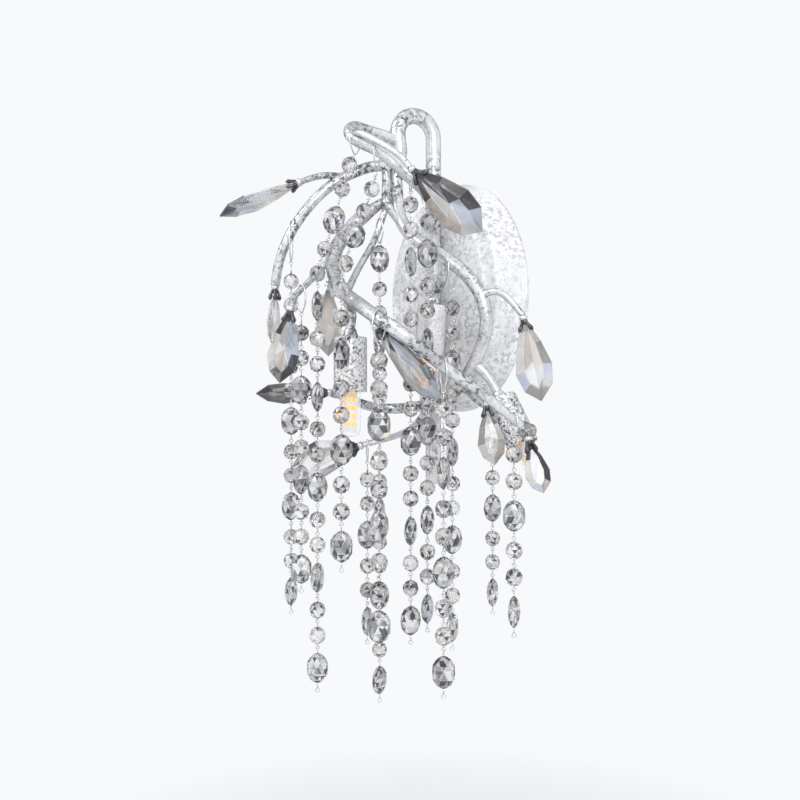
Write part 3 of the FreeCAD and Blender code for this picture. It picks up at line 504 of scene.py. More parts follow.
# tubes of the vine: x, forward of the stem, height, in mm
vine = {
    "legAndRing": [
        (-12, 31, 119), (-13, 35, 100), (-11, 37, 84), (-7, 39, 67), (3, 40, 49), (24, 38, 32),
        (44, 35, 19), (58, 33, 7), (69, 31, -8), (74, 29, -28), (66, 26, -52), (52, 22, -70),
        (37, 17, -82), (19, 12.5, -91), (0, 11.4, -95.5), (-20, 16, -98), (-34, 28, -98),
        (-44, 44, -94), (-50, 58, -88), (-53, 70, -85)],
    "hairpin": [
        (-12, 32, 126), (-19, 46, 129), (-23, 62, 130), (-23.5, 75, 129), (-20, 83, 122),
        (-12, 83, 115), (2, 78, 107), (16, 73, 96), (27, 69, 84), (33, 61, 76), (35.5, 52, 68),
        (34.5, 43, 57), (31, 38.5, 45), (28, 38, 34)],
    "hoop": [
        (-13, 35, 101), (-15, 48, 102.5), (-20, 57, 101), (-26, 67, 96.5), (-36, 78, 89),
        (-47, 90, 76), (-60, 100, 57), (-69, 106, 39), (-75, 109, 22), (-80, 109, 3)],
    "branch": [
        (-12, 48, 74), (-26, 59, 62), (-33, 75, 44), (-29, 92, 25), (-14, 106, 5), (4, 116, -10),
        (29, 126, -22), (56, 134, -35), (71, 129, -45), (79, 116, -56), (85, 102, -66),
        (93, 90, -76), (102, 75, -87), (110, 56, -101), (119, 40, -115)],
    "link": [(-14, 47, 102), (-12, 48, 88), (-12, 48, 74), (-6, 44, 61), (3, 40, 49)],
    "stay": [(-12, 48, 69), (-16, 56, 44), (-10, 80, 18), (8, 115, -10)],
    "bareTwig": [(40, 19, -78), (50, 5, -92), (57, -9, -103)],
}
mainTube = {"stem": 6.5, "leg": 5.6, "ring": 5.0, "ringEnd": 3.6, "archRadius": 17.5,
            "archFoot": 133, "stemFoot": -163}
vineRadii = {
    "hairpin": [(0, 5.2), (0.6, 5.2), (1, 4.4)], "hoop": [(0, 4.5), (1, 3.8)],
    "link": [(0, 3.5), (1, 3.5)], "stay": [(0, 2.6), (1, 2.6)], "twig": [(0, 2.8), (1, 2.3)],
    "branch": [(0, 3.2), (0.07, 5.9), (0.3, 5.9), (0.6, 4.72), (1, 3)],
}
tubeCrease = 50  # degrees, so only the cut ends of tubes look sharp


def linePoints(name):
    return [at(*p) for p in vine[name]]


def buildMainTube():
    bend = Vector((-12, -31, 0)).normalized()
    axis = at(0, 0, 0)
    foot = Vector((0, axis.y, mainTube["stemFoot"] * mm))
    knee = Vector((0, axis.y, mainTube["archFoot"] * mm))
    radius = mainTube["archRadius"] * mm
    line = [foot + (knee - foot) * (i / 12) for i in range(13)]
    for i in range(1, 25):
        turn = math.pi * i / 24
        line.append(knee + bend * (radius - radius * math.cos(turn))
                    + upward * (radius * math.sin(turn)))
    straight = len(line)
    line += splineThrough([line[-1]] + linePoints("legAndRing"), 8, (0, 0, -1))[1:]
    run = runOf(line)
    bent = run[straight - 1] / run[-1]
    radii = [(0, mainTube["stem"]), (bent, mainTube["stem"]), (bent + 0.1, mainTube["leg"]),
             (bent + 0.25, mainTube["ring"]), (0.85, mainTube["ring"]), (1, mainTube["ringEnd"])]
    bag = Bag()
    tubeInto(bag, line, radii, sides["stem"])
    makePiece("mainTube", bag, "fixture", silverTube, ("stem_tube", "ring_tube"),
              sharpFrom=tubeCrease)


def buildVineTubes():
    buildMainTube()
    for name, parts, stands in (
            ("hairpinTube", ["hairpin"], ("hairpin_tube",)),
            ("hoopTubes", ["hoop", "link", "stay"], ("hoop_tubes",)),
            ("longBranch", ["branch"], ("long_branch",))):
        bag = Bag()
        for part in parts:
            tubeInto(bag, splineThrough(linePoints(part)), vineRadii[part], sides["vine"])
        makePiece(name, bag, "fixture", silverTube, stands, sharpFrom=tubeCrease)


buildVineTubes()
print("vine tubes done")

leafSizes = {"length": 66, "breadth": 0.42, "thickness": 0.105, "rim": 0.8, "collar": 7,
             "tableHeight": 0.92, "tableEndHeight": 0.8, "middle": (0.5, 0.02), "smallShare": 0.7}
# crystal leaves: twig line, point aimed at, side the breadth runs to, length share, breadth share,
# and tones by first letter for the bevels down one side and back up the other, then the table
# the tone letters spread painted highlights and painted dark reflections over the facets one by
# one, such as the darker upper facets of leaf_top
leaves = {
    "leaf_top": (
        [(-18, 84, 120), (-6, 88, 118), (6, 88, 112), (22, 86, 102), (36, 83, 90), (40, 81, 84)],
        (78, 41, 36), (0.7, 0.1, 0.7), 1, 1.25, "dwwpldsdd / pwcldsd"),
    "leaf_far_left": (
        [(-34, 76, 91), (-41, 88, 91), (-48, 109, 83)],
        (-123, 134, 61), (0.35, 0.85, 0.3), 1.1, 0.73, "wpcddslps / plc"),
    "leaf_left": (
        [(-79, 109, 10), (-80, 109, 3.5)],
        (-81, 110, -52), (0.25, 1, 0), 0.65, 1, "spcpcpccp / cpc"),
    "leaf_left_front": (
        [(-31, 92, 24), (-36, 105, 8), (-37, 120, -5), (-33, 132, -14), (-28, 139, -20)],
        (-42, 138, -76), (0.77, -0.64, 0), 0.8, 1.1, "dppsddlld / pcwclp"),
    "leaf_low_left": (
        [(-51, 66, -86), (-53, 69.6, -85)],
        (-112, 111, -86), (-0.3, 0.6, 0.35), 0.88, 0.9, "wddddssws / dsd"),
    "leaf_behind": (
        [(-33, 79, 39), (-38, 83, 20), (-39, 88, 4)],
        (-44, 84, -54), (0.8, -0.6, 0), 0.8, 1, "swpwswpss / wpw"),
    "leaf_middle": (
        [(46, 131, -29), (46.5, 130, -34), (47, 129, -38)],
        (72, 90, -88), (0.03, 0.79, -0.6), 0.97, 0.95, "dddllpwpd / lpcwcl"),
    "leaf_bottom": (
        [(5, 12, -94.8), (3, 31, -113), (-2, 55, -121.5), (-16, 72, -127)],
        (-84, 88, -150), (0.3, -0.3, 0.9), 1, 1.25, "dpcpsdccd / cpccwc"),
    "leaf_right": (
        [(71, 31, -10), (84, 29, -8), (95, 25, -17), (102, 21, -27)],
        (120, 26, -92), (0.85, -0.5, 0.2), 0.92, 1.1, "splsslsws / wpcppw"),
    "leaf_low_right": (
        [(52, 22, -70), (64, 30, -83), (77, 34, -92)],
        (84, 34, -137), (0.77, -0.64, 0), 0.64, 1.2, "ssppwwpsd / pcpc"),
    "leaf_end": (
        [(120.5, 45, -116.3), (121, 46, -117)],
        (134, 48.5, -153.5), (0.77, -0.64, 0.1), 0.54, 1.2, "dpplwdddd / lppl"),
}
leafOutline = [(0, -0.1), (0.28, -0.34), (0.62, -0.5), (0.85, -0.35), (1, 0.03),
               (0.8, 0.42), (0.56, 0.5), (0.25, 0.33), (0, 0.1)]
leafTable = [(0.1, -0.03), (0.3, -0.16), (0.6, -0.24), (0.76, -0.16), (0.84, 0.03),
             (0.72, 0.2), (0.55, 0.25), (0.27, 0.17), (0.1, 0.05)]


def leafInto(bag, seat, aim, across, length, breadth, tones):
    # cut crystal: a flat table on each face, bevels out to a thin girdle
    up = aim.cross(across)
    half = leafSizes["thickness"] * length / 2

    def place(share, aside, height):
        return seat + (aim * (share * length) + across * (aside * breadth) + up * height) * mm

    verts, faces, picks = [], [], []
    bevels, tables = [[toneLetters.index(letter) for letter in part] for part in tones.split(" / ")]
    count = len(leafOutline)
    for level in (1, -1):
        verts += [place(s, b, level * leafSizes["rim"]) for s, b in leafOutline]
        for i, (s, b) in enumerate(leafTable):
            rise = leafSizes["tableHeight" if 0 < i < count - 1 else "tableEndHeight"]
            verts.append(place(s, b, level * half * rise))
    for side, level in enumerate((1, -1)):
        rim = side * 2 * count
        table = rim + count
        middle = len(verts)
        verts.append(place(*leafSizes["middle"], level * half))
        for i in range(count):
            j = (i + 1) % count
            facets = [(rim + i, rim + j, table + j), (rim + i, table + j, table + i),
                      (table + i, table + j, middle)]
            faces += [facet[::level] for facet in facets]
            picks += [bevels[i], bevels[(i + side) % count],
                      tables[(i + side) * len(tables) // count % len(tables)]]
    for i in range(count):
        j = (i + 1) % count
        faces.append((i, 2 * count + i, 2 * count + j, j))
        picks.append(bevels[i])
    bag.add(verts, faces, picks)


claspSizes = {
    "collar": [(2, 1.6), (2.6, 2.3), (4, 2.8), (5.6, 2.7), (6.6, 2.2), (7.2, 1.6)],
    "knob": [(-0.6, 1.0), (0.2, 2.4), (1.6, 3.5), (3.0, 3.4), (4.0, 2.4), (4.6, 1.0)],
    "claw": [(0, 0.9), (0.45, 1.1), (0.75, 1.7), (0.93, 1.3), (1, 0.4)],
    "clawRoot": (3.6, 1.2, 1.2), "clawKnee": (7.5, 2.4, 2.2), "clawTip": (12.5, 2.4),
    "clawReach": 0.19, "crease": 40,
}


def claspInto(dark, bright, start, aim, across, breadth):
    # collar with a bright knob and, on each face of the leaf, two claws over its shoulders
    up = aim.cross(across)
    lathe(dark, claspSizes["collar"], start, aim, sides["clasp"], across)
    lathe(bright, claspSizes["knob"], start, aim, sides["knob"], across)
    tipRun, tipRise = claspSizes["clawTip"]
    bends = [claspSizes["clawRoot"], claspSizes["clawKnee"],
             (tipRun, breadth * claspSizes["clawReach"], tipRise)]
    for side in (1, -1):
        for face in (1, -1):
            line = [start + (aim * run + across * (side * out) + up * (face * rise)) * mm
                    for run, out, rise in bends]
            tubeInto(dark, splineThrough(line, 5), claspSizes["claw"], sides["claw"])


def buildLeaves():
    twigBag, darkBag, brightBag, smallBag = Bag(), Bag(), Bag(), Bag()
    for name, (route, tip, side, longShare, broadShare, tones) in leaves.items():
        points = [at(*p) for p in route]
        if len(points) > 2:
            tubeInto(twigBag, splineThrough(points), vineRadii["twig"], sides["twig"])
        start = points[-1]
        aim = (at(*tip) - start).normalized()
        across = Vector((side[0], -side[1], side[2]))
        across = (across - aim * across.dot(aim)).normalized()
        length = leafSizes["length"] * longShare
        breadth = length * leafSizes["breadth"] * broadShare
        seat = start + aim * (leafSizes["collar"] * mm)
        large = longShare > leafSizes["smallShare"]
        bag = Bag() if large else smallBag
        leafInto(bag, seat, aim, across, length, breadth, tones)
        clawBag = brightBag if name == "leaf_behind" else darkBag
        claspInto(clawBag, brightBag, start, aim, across, breadth)
        if large:
            makePiece(name.replace("_", "") + "Crystal", bag, "fixture", crystals, (name,), False)
    makePiece("smallLeafCrystals", smallBag, "fixture", crystals, ("small_leaves",), False)
    bare = splineThrough(linePoints("bareTwig"))
    tubeInto(twigBag, bare, vineRadii["twig"], sides["twig"])
    makePiece("twigTubes", twigBag, "fixture", silverTube, ("twigs",), sharpFrom=tubeCrease)
    makePiece("leafClasps", darkBag, "fixture", darkClasp, ("leaf_clamps",),
              sharpFrom=claspSizes["crease"])
    makePiece("claspKnobs", brightBag, "fixture", strandWire)


ferrule = {"profile": [(-9, 3.0), (-8, 4.6), (-6.5, 5.8), (-4, 6.3), (-1.5, 6.6), (0.5, 6.5),
                       (2.2, 5.6), (3, 3.6)], "rough": 0.35, "seed": 4}


def buildFerrule():
    line = splineThrough(linePoints("branch"))
    aim = (line[-1] - line[-2]).normalized()
    rand = random.Random(ferrule["seed"])
    rough = ferrule["rough"]
    bag = Bag()
    lathe(bag, ferrule["profile"], line[-1], aim, sides["ferrule"])
    bag.verts = [v + Vector([rand.uniform(-rough, rough) for _ in range(3)]) * mm
                 for v in bag.verts]
    piece = makePiece("branchFerrule", bag, "fixture", silverFerrule, smooth=False)


buildLeaves()
buildFerrule()
print("leaves done")

# R is a round bead and O a flat oval; levels are (share of its height, share of its width)
# tones weigh clear, pale, mid-grey, near-black, warm and lilac facets, in that order; the clear,
# mid-grey and near-black facets are partly painted highlights and painted dark reflections
beadSizes = {
    "R": {"wide": 6.3, "thick": 6.3, "tall": 5.9, "half": 5.4, "sides": 9, "spin": 0.4,
          "levels": [(-1, 0.4), (-0.72, 0.76), (-0.26, 0.98), (0.26, 0.98), (0.72, 0.76), (1, 0.4)],
          "tones": (46, 22, 11, 13, 7, 1)},
    "O": {"wide": 8.4, "thick": 4.6, "tall": 11.0, "half": 10.0, "sides": 10,
          "levels": [(-1, 0.25), (-0.8, 0.64), (-0.45, 0.92), (0, 1.0), (0.45, 0.92), (0.8, 0.64),
                     (1, 0.25)],
          "tones": (32, 16, 12, 23, 7, 10)},
}
linkSizes = {"roundGap": 8.6, "ovalGap": 9.6, "wire": 0.4, "eye": 1.35, "overlap": 0.35,
             "twist": [(0, 0.75), (0.7, 0.75), (1, 0.4)], "topDrop": 0.5,
             "topTwist": [(0, 0.4), (0.5, 0.7), (1, 0.75)], "tail": 9, "tailEye": 1.5,
             "tailSpare": 1.6, "tailTwist": [(0, 0.75), (0.4, 0.75), (0.6, 0.4), (1, 0.4)],
             "drapeEye": 1.4, "drapeRise": 1.3, "drapeEnd": 2.6,
             "drapeTwist": [(0, 0.75), (1, 0.5)]}
# beads from the top, and the way each oval faces in degrees
strands = {
    "strand_01": ("RRORRORRORRO", (60, 40, 75, 115)), "strand_02": ("RRORRORRO", (40, 95, 40)),
    "strand_03": ("ORRORRORRORRO", (125, 125, 70, 110, 40)),
    "strand_04": ("RORRORRO", (100, 45, 40)),
    "strand_05": ("ORRORRORRORRORRO", (60, 110, 60, 120, 60, 95)),
    "strand_06": ("RRORRORRO", (40, 85, 40)), "strand_07": ("RRORRO", (60, 120)),
    "strand_08": ("RRORRORRORRORRO", (115, 60, 50, 110, 60)),
    "strand_09": ("RORRORRORRORRO", (50, 110, 60, 100, 110)),
    "strand_10": ("RRORRORRO", (110, 60, 40)), "strand_11": ("RRORRORRORRO", (70, 110, 60, 110)),
    "strand_12": ("RRORRO", (70, 110)), "strand_13": ("RRORRO", (40, 115)),
}
# hooks: place on the tube, level direction of the tube, its radius, foot of the hook, half width
hooks = {
    "strand_01": ((-66.02, -144.08, 45.72), (-0.833, -0.554), 8.6, -24.65, 5.1),
    "strand_02": ((-37.01, -159.95, -4.96), (0.139, -0.990), 3.2, -18.67, 3.4),
    "strand_05": ((-15.67, -92.25, 51.27), (-0.220, -0.976), 6.8, -13.02, 4.1),
    "strand_06": ((56.01, -174.00, -35.00), (1.000, 0.012), 6.0, -15.94, 6.0),
    "strand_07": ((-13.11, -110.02, -126.12), (-0.607, -0.795), 2.6, -14.84, 3.2),
    "strand_08": ((29.29, -106.82, 81.27), (0.656, 0.755), 6.7, -10.78, 6.0),
    "strand_09": ((35.31, -93.49, 69.42), (0.153, 0.988), 7.0, -10.97, 5.8),
    "strand_10": ((86.09, -140.11, -67.50), (0.515, 0.857), 5.9, -16.60, 5.5),
    "strand_11": ((45.77, -74.74, 17.70), (0.990, 0.141), 6.4, -20.96, 5.8),
    "strand_12": ((56.11, -33.07, -101.52), (0.404, 0.915), 3.0, -18.54, 3.2),
    "strand_13": ((112.49, -90.58, -105.37), (0.444, 0.896), 4.6, -12.74, 4.4),
    "strand_03": ((-14.25, -123.50, 116.58), (0.984, 0.177), 6.6, -12.8, 6.5),
    "strand_04": ((3.65, -117.33, 105.97), (0.928, 0.373), 6.3, -16.5, 6.1),
}
hookSizes = {"wire": 0.55, "play": 0.8, "narrowing": 0.35}
# beads that lie against the branch: kind, then x, forward of the stem and height in mm
draped = {
    "strand_03": [("R", -12, 92, 93), ("R", -13, 99, 73), ("O", -15, 106, 48), ("R", -19, 112, 25),
                  ("R", -22, 117, 6)],
    "strand_04": [("R", 7, 87, 72), ("R", 10, 99, 52), ("O", 13, 113, 31), ("R", 17, 127, 8),
                  ("R", 20, 134, -12)],
}


def beadInto(bag, centre, along, across, kind, rand):
    # a cut crystal bead: rings of facets set half a facet apart, flat ends round the hole
    aside = along.cross(across)
    sizes = beadSizes[kind]
    count, levels = sizes["sides"], sizes["levels"]
    spin = rand.uniform(0, sizes["spin"]) if kind == "R" else 0
    verts, faces = [], []
    for i, (level, share) in enumerate(levels):
        for k in range(count):
            turn = 2 * math.pi * (k + 0.5 * (i % 2)) / count + spin
            verts.append(centre + (along * (level * sizes["tall"])
                                   + across * (sizes["wide"] * share * math.cos(turn))
                                   + aside * (sizes["thick"] * share * math.sin(turn))) * mm)
    for i in range(len(levels) - 1):
        for k in range(count):
            a, b = i * count + k, i * count + (k + 1) % count
            c, d = a + count, b + count
            faces += [(a, b, c), (b, d, c)] if i % 2 == 0 else [(a, d, c), (a, b, d)]
    faces.append(tuple(range(count))[::-1])
    faces.append(tuple(len(verts) - count + k for k in range(count)))
    bag.add(verts, faces, rand.choices(range(len(crystals)), sizes["tones"], k=len(faces)))


def eyeInto(bag, centre, first, second, radius):
    wire = linkSizes["wire"]
    line = circleOf(centre, first, second, radius * mm, sides["eye"])
    tubeInto(bag, line, [(0, wire), (1, wire)], sides["eyeWire"], closed=True)


def joinInto(bag, low, high, rand):
    # two turned eyes linked together between beads, with a twist of wire at each end
    along = (low - high).normalized()
    side = Vector((math.cos(rand.uniform(0, 3)), math.sin(rand.uniform(0, 3)), 0))
    side = (side - along * side.dot(along)).normalized()
    eye = linkSizes["eye"]
    middle = (low + high) / 2
    for sign, across, end in ((-1, side, high), (1, along.cross(side), low)):
        centre = middle + along * (sign * (eye - linkSizes["overlap"]) * mm)
        eyeInto(bag, centre, along, across, eye)
        inner = centre + along * (sign * eye * mm)
        tubeInto(bag, [end, inner], linkSizes["twist"], sides["twist"])


def gapOf(kind, other):
    return linkSizes["ovalGap" if "O" in (kind, other) else "roundGap"]


def pivotOf(name):
    joint = next(j for j in frame["joints"] if j["child"] == name)
    return Vector(joint["pos_m"])


def turnedLevel(degrees):
    return Vector((math.cos(math.radians(degrees)), math.sin(math.radians(degrees)), 0))


def hookInto(bag, name):
    place, level, reach, foot, halfWidth = hooks[name]
    centre = Vector(place) * mm
    aside = upward.cross(Vector((*level, 0)).normalized())
    top = reach + hookSizes["play"]
    wide = halfWidth + hookSizes["play"]
    middle = (top + foot) / 2
    tall = (top - foot) / 2
    line = []
    for c, s in turnsOf(sides["hook"]):  # narrower below the tube
        across = wide * (1 - hookSizes["narrowing"] * min(s, 0) ** 2)
        line.append(centre + (aside * (across * c) + upward * (middle + tall * s)) * mm)
    wire = hookSizes["wire"]
    tubeInto(bag, line, [(0, wire), (1, wire)], sides["hookWire"], closed=True)


def buildStrand(name):
    pattern, facing = strands[name]
    facing = list(facing)
    rand = random.Random(name)
    beads, wires = Bag(), Bag()
    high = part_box(name + "_crystals")[1]
    pivot = pivotOf(name)
    down = -upward
    eye, drop = linkSizes["eye"], linkSizes["topDrop"]
    centre = Vector((pivot.x, pivot.y, high.z - beadSizes[pattern[0]]["half"] * mm))
    upper = None
    for i, kind in enumerate(pattern):
        sizes = beadSizes[kind]
        across = turnedLevel(facing.pop(0) if kind == "O" else rand.uniform(0, 90))
        beadInto(beads, centre, down, across, kind, rand)
        capTop = centre - down * (sizes["tall"] * mm)
        if upper is None:
            eyeInto(wires, pivot + down * (drop * mm), upward, Vector((0.8, 0.6, 0)), eye)
            tubeInto(wires, [pivot + down * ((eye + drop) * mm), capTop], linkSizes["topTwist"],
                     sides["twist"])
        else:
            joinInto(wires, capTop, upper, rand)
        upper = centre + down * (sizes["tall"] * mm)
        if i + 1 < len(pattern):
            other = pattern[i + 1]
            step = sizes["half"] + gapOf(kind, other) + beadSizes[other]["half"]
            centre = centre + down * (step * mm)
    eye = linkSizes["tailEye"]
    end = upper + down * ((linkSizes["tail"] - 2 * eye - linkSizes["tailSpare"]) * mm)
    tubeInto(wires, [upper, end], linkSizes["tailTwist"], sides["twist"])
    eyeInto(wires, end + down * (eye * mm), down, turnedLevel(40), eye)
    label = name.replace("_", "")
    makePiece(label + "Beads", beads, name, crystals, (name + "_crystals",), False)
    makePiece(label + "Wires", wires, name, strandWire, (name + "_wire",))


def buildDrapes():
    beads, wires = Bag(), Bag()
    for name in hooks:
        hookInto(wires, name)
    for name, rests in draped.items():
        rand = random.Random(name + "rest")
        (x, y, z), foot = hooks[name][0], hooks[name][3]
        upper = Vector((x, y, z + foot)) * mm
        centres = [at(*rest[1:]) for rest in rests]
        for i, (kind, *_) in enumerate(rests):
            last = i + 1 == len(rests)
            before = centres[i - 1] if i else upper
            direction = -upward if last else (centres[i + 1] - before).normalized()
            half = direction * (beadSizes[kind]["tall"] * mm)
            beadInto(beads, centres[i], direction, direction.orthogonal().normalized(), kind, rand)
            joinInto(wires, centres[i] - half, upper, rand)
            upper = centres[i] + half
        pivot = pivotOf(name)
        eyeInto(wires, pivot + upward * (linkSizes["drapeRise"] * mm), upward,
                Vector((0.6, -0.8, 0)), linkSizes["drapeEye"])
        tubeInto(wires, [upper, pivot + upward * (linkSizes["drapeEnd"] * mm)],
                 linkSizes["drapeTwist"], sides["twist"])
    makePiece("drapedBeads", beads, "fixture", crystals, ("draped_crystals",), False)
    makePiece("strandHooks", wires, "fixture", strandWire, ("strand_hooks",))


for strandName in strands:
    buildStrand(strandName)
buildDrapes()
print("strands done")

lampSizes = {
    "cover": 12.4, "coverLength": 41, "wall": 1.0, "hole": 3.6, "coverCrease": 50,
    "arm": [(0, 4.2), (0.8, 3.6), (1, 3.5)],
    "cap": [(-6.6, 3.4), (-6, 4.2), (-4.5, 4.7), (-2.4, 5.2), (-1.2, 6.0), (-0.4, 6.9), (0, 6.6)],
}
# lamps: foot of the flared cap, direction, arm line
lamps = {
    "left": ((8.0, -152.0, -44.0), (0, 0, -1),
             [(4, 116, -11), (10, 115, -21), (9, 112, -31), (8, 112, -38)]),
    "middle": ((19.462, -65.8, -12.876), (-0.0896, 0, -0.996),
               [(38, 36, 23), (35, 33, 12), (28, 28.5, 2), (20, 25.8, -6.9)]),
    "right": ((78.0, -55.0, -90.196), (0.5, 0, -0.866),
              [(59, 24, -62), (66, 20, -69), (71, 17, -77), (75, 15, -85)]),
}
# top is below the cap's foot; shoulder, seam and dome are (run, radius or change of it) pairs
bulbSizes = {"top": 22.3, "radius": 7.8, "collar": 9, "length": 52, "board": 4.2, "boardTurn": -53,
             "boardSink": 0.5, "boardEnd": 3, "foot": (6.2, 2.3, 5.4), "crease": 40,
             "shoulder": [(0, 5.5), (0, 6.8), (0.8, 7.5)],
             "seam": [(-1, -0.05), (0, -0.5), (0, -2.8)],
             "dome": [(-5, 1), (-2.4, 0.93), (-0.8, 0.72), (0, 0.3)], "tip": 0.05}
chipSizes = {"half": (1.15, 1.5, 0.35), "rows": 6, "first": 3.7, "step": 6, "aside": 1.75}


def buildLamps():
    armBag = Bag()
    for name, (origin, aim, route) in lamps.items():
        origin = Vector(origin) * mm
        aim = Vector(aim).normalized()
        points = [at(*p) for p in route]
        line = splineThrough(points, 10, (points[1] - points[0]).normalized(), aim)
        tubeInto(armBag, line, lampSizes["arm"], sides["arm"])
        lathe(armBag, lampSizes["cap"], origin, aim, sides["cap"])
        buildCover(name, origin, aim)
        buildBulb(name, origin, aim)
    makePiece("lampArms", armBag, "fixture", silverTube, ("lamp_arms",), sharpFrom=tubeCrease)


def buildCover(name, origin, aim):  # a tube open below, with the arm's hole in its top
    outer, length, hole = lampSizes["cover"], lampSizes["coverLength"], lampSizes["hole"]
    inner = outer - lampSizes["wall"]
    profile = [(0, hole), (0, outer - 1), (0.3, outer - 0.3), (1, outer), (length * 0.3, outer),
               (length * 0.7, outer), (length - 0.3, outer), (length, outer - 0.3),
               (length, inner + 0.1), (length - 0.4, inner), (1.2, inner), (1.1, hole), (0, hole)]
    cover = Bag()
    lathe(cover, profile, origin, aim, sides["cover"], capped=False)
    # the middle lamp's cover takes the whiter copy of the finish, painted light
    makePiece("lampCover" + name.title(), cover, "fixture",
              paintedLitCover if name == "middle" else silverCover, ("lamp_cover_" + name,),
              sharpFrom=lampSizes["coverCrease"])


def buildBulb(name, origin, aim):
    body = "bulb_" + name
    top, radius, board = bulbSizes["top"], bulbSizes["radius"], bulbSizes["board"]
    collar = top + bulbSizes["collar"]
    end = top + bulbSizes["length"]
    across = sideOf(aim)
    aside = aim.cross(across)
    turned = Matrix.Rotation(math.radians(bulbSizes["boardTurn"]), 3, aim)

    def along(run):
        return origin + aim * (run * mm)

    base = Bag()
    profile = [(top + run, out) for run, out in bulbSizes["shoulder"]]
    profile += [(collar + run, radius + less) for run, less in bulbSizes["seam"]]
    lathe(base, profile, origin, aim, sides["bulb"], across)
    low, high = collar - bulbSizes["boardSink"], end - bulbSizes["boardEnd"]
    boxInto(base, along((low + high) / 2), turned @ across, turned @ aside, aim,
            (board, board, (high - low) / 2))
    boxInto(base, along(top - bulbSizes["foot"][2]), across, aside, aim, bulbSizes["foot"])
    makePiece("bulbBody" + name.title(), base, body, bulbPlastic, ("bulb_base_" + name,),
              sharpFrom=bulbSizes["crease"])
    glass = Bag()
    profile = [(collar, radius)] + [(end + run, radius * share) for run, share in bulbSizes["dome"]]
    lathe(glass, profile + [(end, bulbSizes["tip"])], origin, aim, sides["bulb"], across)
    makePiece("bulbCover" + name.title(), glass, body, bulbClear, ("bulb_cover_" + name,))
    chips = Bag()
    for face in range(4):
        normal = Matrix.Rotation(math.pi / 2 * face, 3, aim) @ turned @ across
        wide = aim.cross(normal)
        for row in range(chipSizes["rows"]):
            for column in (-1, 1):
                run = collar + chipSizes["first"] + row * chipSizes["step"]
                spot = along(run) + (wide * (column * chipSizes["aside"])
                                     + normal * (board + chipSizes["half"][2])) * mm
                boxInto(chips, spot, wide, aim, normal, chipSizes["half"])
    glow = chipPale if name == "right" else chipGlow
    makePiece("lightChips" + name.title(), chips, body, glow, smooth=False)


buildLamps()
print("lamps done")

canopy = {"halfWidth": 71, "halfHeight": 101.5, "rim": 3, "depth": 28, "taper": 14, "inset": 11,
          "step": 3, "wall": 1.2, "round": 1.4, "shrink": 14, "crease": 30}


def buildCanopy():
    width, height, rim, wall = (canopy[key] for key in ("halfWidth", "halfHeight", "rim", "wall"))
    depth, taper, around = canopy["depth"], canopy["taper"], sides["canopy"]
    inset = taper + canopy["inset"]
    front = depth + canopy["step"]
    raised = inset + canopy["round"]  # how far in the raised oval begins
    # profile: (out from the wall, in from the rim) pairs, from the wall to the middle
    profile = [(0, 0), (rim, 0), (rim + 0.6, 0.4), (depth - 2.2, taper - 1.2),
               (depth - 0.8, taper - 0.2), (depth, taper + 1.2), (depth, taper + 3),
               (depth, inset - 2), (depth + 0.4, inset - 0.7), (front - 0.6, inset + 0.4),
               (front, raised)]
    shrink = canopy["shrink"]
    profile += [(front, raised + (width - raised) * k / shrink) for k in range(1, shrink)]
    inner = [(0, wall), (rim, wall), (depth - wall, taper + 2)]

    def oval(out, less):
        tall = height - less
        if less >= inset + 2:
            tall = (height - raised) * (width - less) / (width - raised)
        return [Vector(((width - less) * c, -out, tall * s)) * mm for c, s in turnsOf(around)]

    following = [(k, (k + 1) % around) for k in range(around)]
    verts = [v for out, less in profile for v in oval(out, less)]
    faces = [(a, d, c, b) for a, b, c, d in ringFaces(len(profile), around)]
    last, middle = len(verts) - around, len(verts)
    verts.append(Vector((0, -front, 0)) * mm)
    faces += [(last + k, middle, last + j) for k, j in following]
    base = len(verts)
    verts += [v for out, less in inner for v in oval(out, less)]
    faces += [tuple(base + v for v in face) for face in ringFaces(len(inner), around)]
    faces += [(k, j, base + j, base + k) for k, j in following]
    top, back = len(verts) - around, len(verts)
    verts.append(Vector((0, -(depth - wall), 0)) * mm)
    faces += [(top + k, top + j, back) for k, j in following]
    bag = Bag()
    bag.add(verts, faces)
    makePiece("canopyShell", bag, "fixture", silverCanopy, ("canopy_shell",),
              sharpFrom=canopy["crease"])


buildCanopy()
hiddenLooks = {"wall_bracket": zincSteel, "canopy_screws": zincSteel,
               "terminal_block": blockPlastic, "lamp_sockets": whiteCeramic,
               "stem_standoffs": silverTube}
for node, material in hiddenLooks.items():  # solids shown as they are
    cadPiece = frame["nodes"][node]
    cadPiece.data.materials.clear()
    cadPiece.data.materials.append(material)
print("canopy done")

studio = {
    "white": (0.93, 0.945, 0.965), "room": 0.92, "floor": (0.75, 0.76, 0.78), "floorRough": 0.8,
    "floorZ": -0.75, "floorHalf": 3.0, "fadeFrom": 0.85, "fadeTo": 1.1,
    "lampTarget": (0, -0.1, -0.05), "lens": 36.0, "sensor": 36.0, "nearest": 0.01,
    "cameraPlace": (0.4211, -0.5866, -0.091), "cameraTurn": (90, 0, 40),
}
# studio lamps: place and size in m, power in W
studioLamps = {"keyLamp": ((-0.5, -1.1, 0.8), (0.7, 0.7), 6.0),
               "sideLamp": ((0.95, -0.85, 0.5), (0.5, 0.9), 7.0)}


def mixShaders(tree, share, first, second, output):
    mix = addNode(tree, "ShaderNodeMixShader")
    for source, socket in zip((share, first, second), mix.inputs):
        tree.links.new(source, socket)
    tree.links.new(mix.outputs[0], tree.nodes[output].inputs["Surface"])


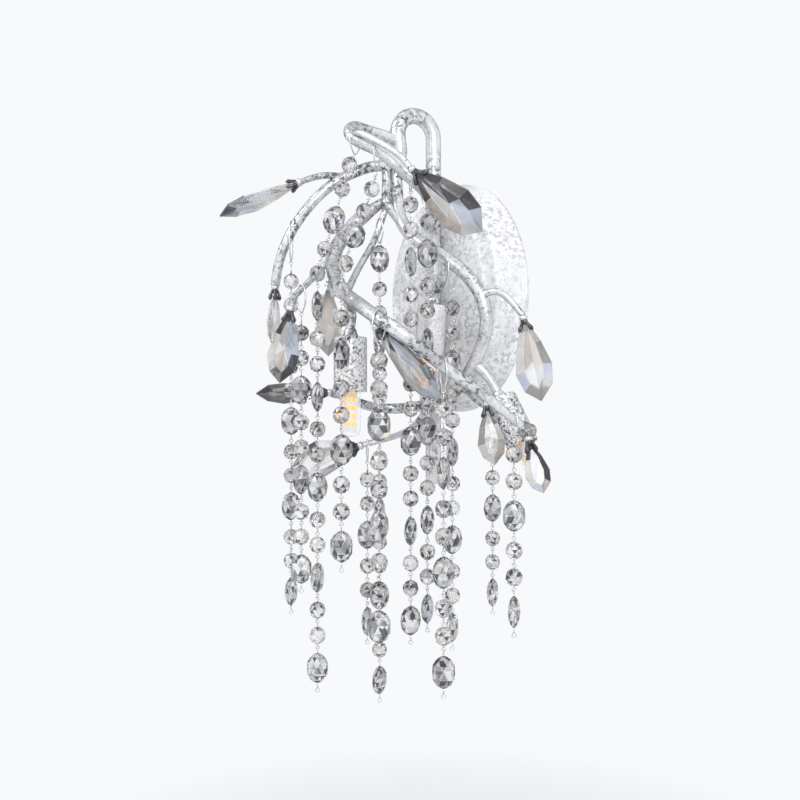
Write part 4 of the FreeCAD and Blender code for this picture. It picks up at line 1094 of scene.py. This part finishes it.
def buildFloor():  # a pale floor that fades into the background
    half, z = studio["floorHalf"], studio["floorZ"]
    mesh = bpy.data.meshes.new("floor")
    mesh.from_pydata([(a * half, b * half, z) for a, b in square], [], [(0, 1, 2, 3)])
    floor = addObject("floor", mesh)
    material, tree, shader = newMaterial("paleFloor")
    feedAll(tree, shader, {"Base Color": (*studio["floor"], 1),
                           "Roughness": studio["floorRough"]})
    place = addNode(tree, "ShaderNodeTexCoord")
    reach = addNode(tree, "ShaderNodeVectorMath", operation="LENGTH")
    tree.links.new(place.outputs["Object"], reach.inputs[0])
    far = addNode(tree, "ShaderNodeMapRange")
    feedAll(tree, far, {"From Min": studio["fadeFrom"], "From Max": studio["fadeTo"],
                        "Value": reach.outputs["Value"]})
    glow = addNode(tree, "ShaderNodeEmission", Color=(*studio["white"], 1))
    mixShaders(tree, far.outputs["Result"], shader.outputs[0], glow.outputs[0], "Material Output")
    mesh.materials.append(material)


def buildWorld():
    # one plain pale room: straight, mirrored and refracted rays see it as white,
    # and the rest of its light is dimmed for the lamps
    world = bpy.data.worlds.new("studio")
    bpy.context.scene.world = world
    world.use_nodes = True
    tree = world.node_tree
    plain = tree.nodes["Background"]
    plain.inputs["Color"].default_value = (*studio["white"], 1)
    room = addNode(tree, "ShaderNodeBackground", Color=(*studio["white"], 1),
                   Strength=studio["room"])
    rays = addNode(tree, "ShaderNodeLightPath").outputs
    shown = maths(tree, "MAXIMUM", rays["Is Camera Ray"], rays["Is Glossy Ray"])
    shown = maths(tree, "MAXIMUM", shown, rays["Is Transmission Ray"])
    mixShaders(tree, shown, room.outputs[0], plain.outputs[0], "World Output")


def areaLamp(name, place, size, power):
    light = bpy.data.lights.new(name, "AREA")
    light.shape = "RECTANGLE"
    light.size, light.size_y = size
    light.energy = power
    lampObject = addObject(name, light)
    lampObject.location = place
    aim = Vector(studio["lampTarget"]) - Vector(place)
    lampObject.rotation_euler = aim.to_track_quat("-Z", "Y").to_euler()


def buildCamera():
    data = bpy.data.cameras.new("camera")
    data.lens = studio["lens"]
    data.sensor_width = studio["sensor"]
    data.clip_start = studio["nearest"]
    camera = addObject("camera", data)
    camera.location = studio["cameraPlace"]
    camera.rotation_euler = [math.radians(turn) for turn in studio["cameraTurn"]]
    bpy.context.scene.camera = camera


buildFloor()
buildWorld()
for lampName, values in studioLamps.items():
    areaLamp(lampName, *values)
buildCamera()
bpy.context.scene.view_settings.view_transform = "Standard"
print("stage done")
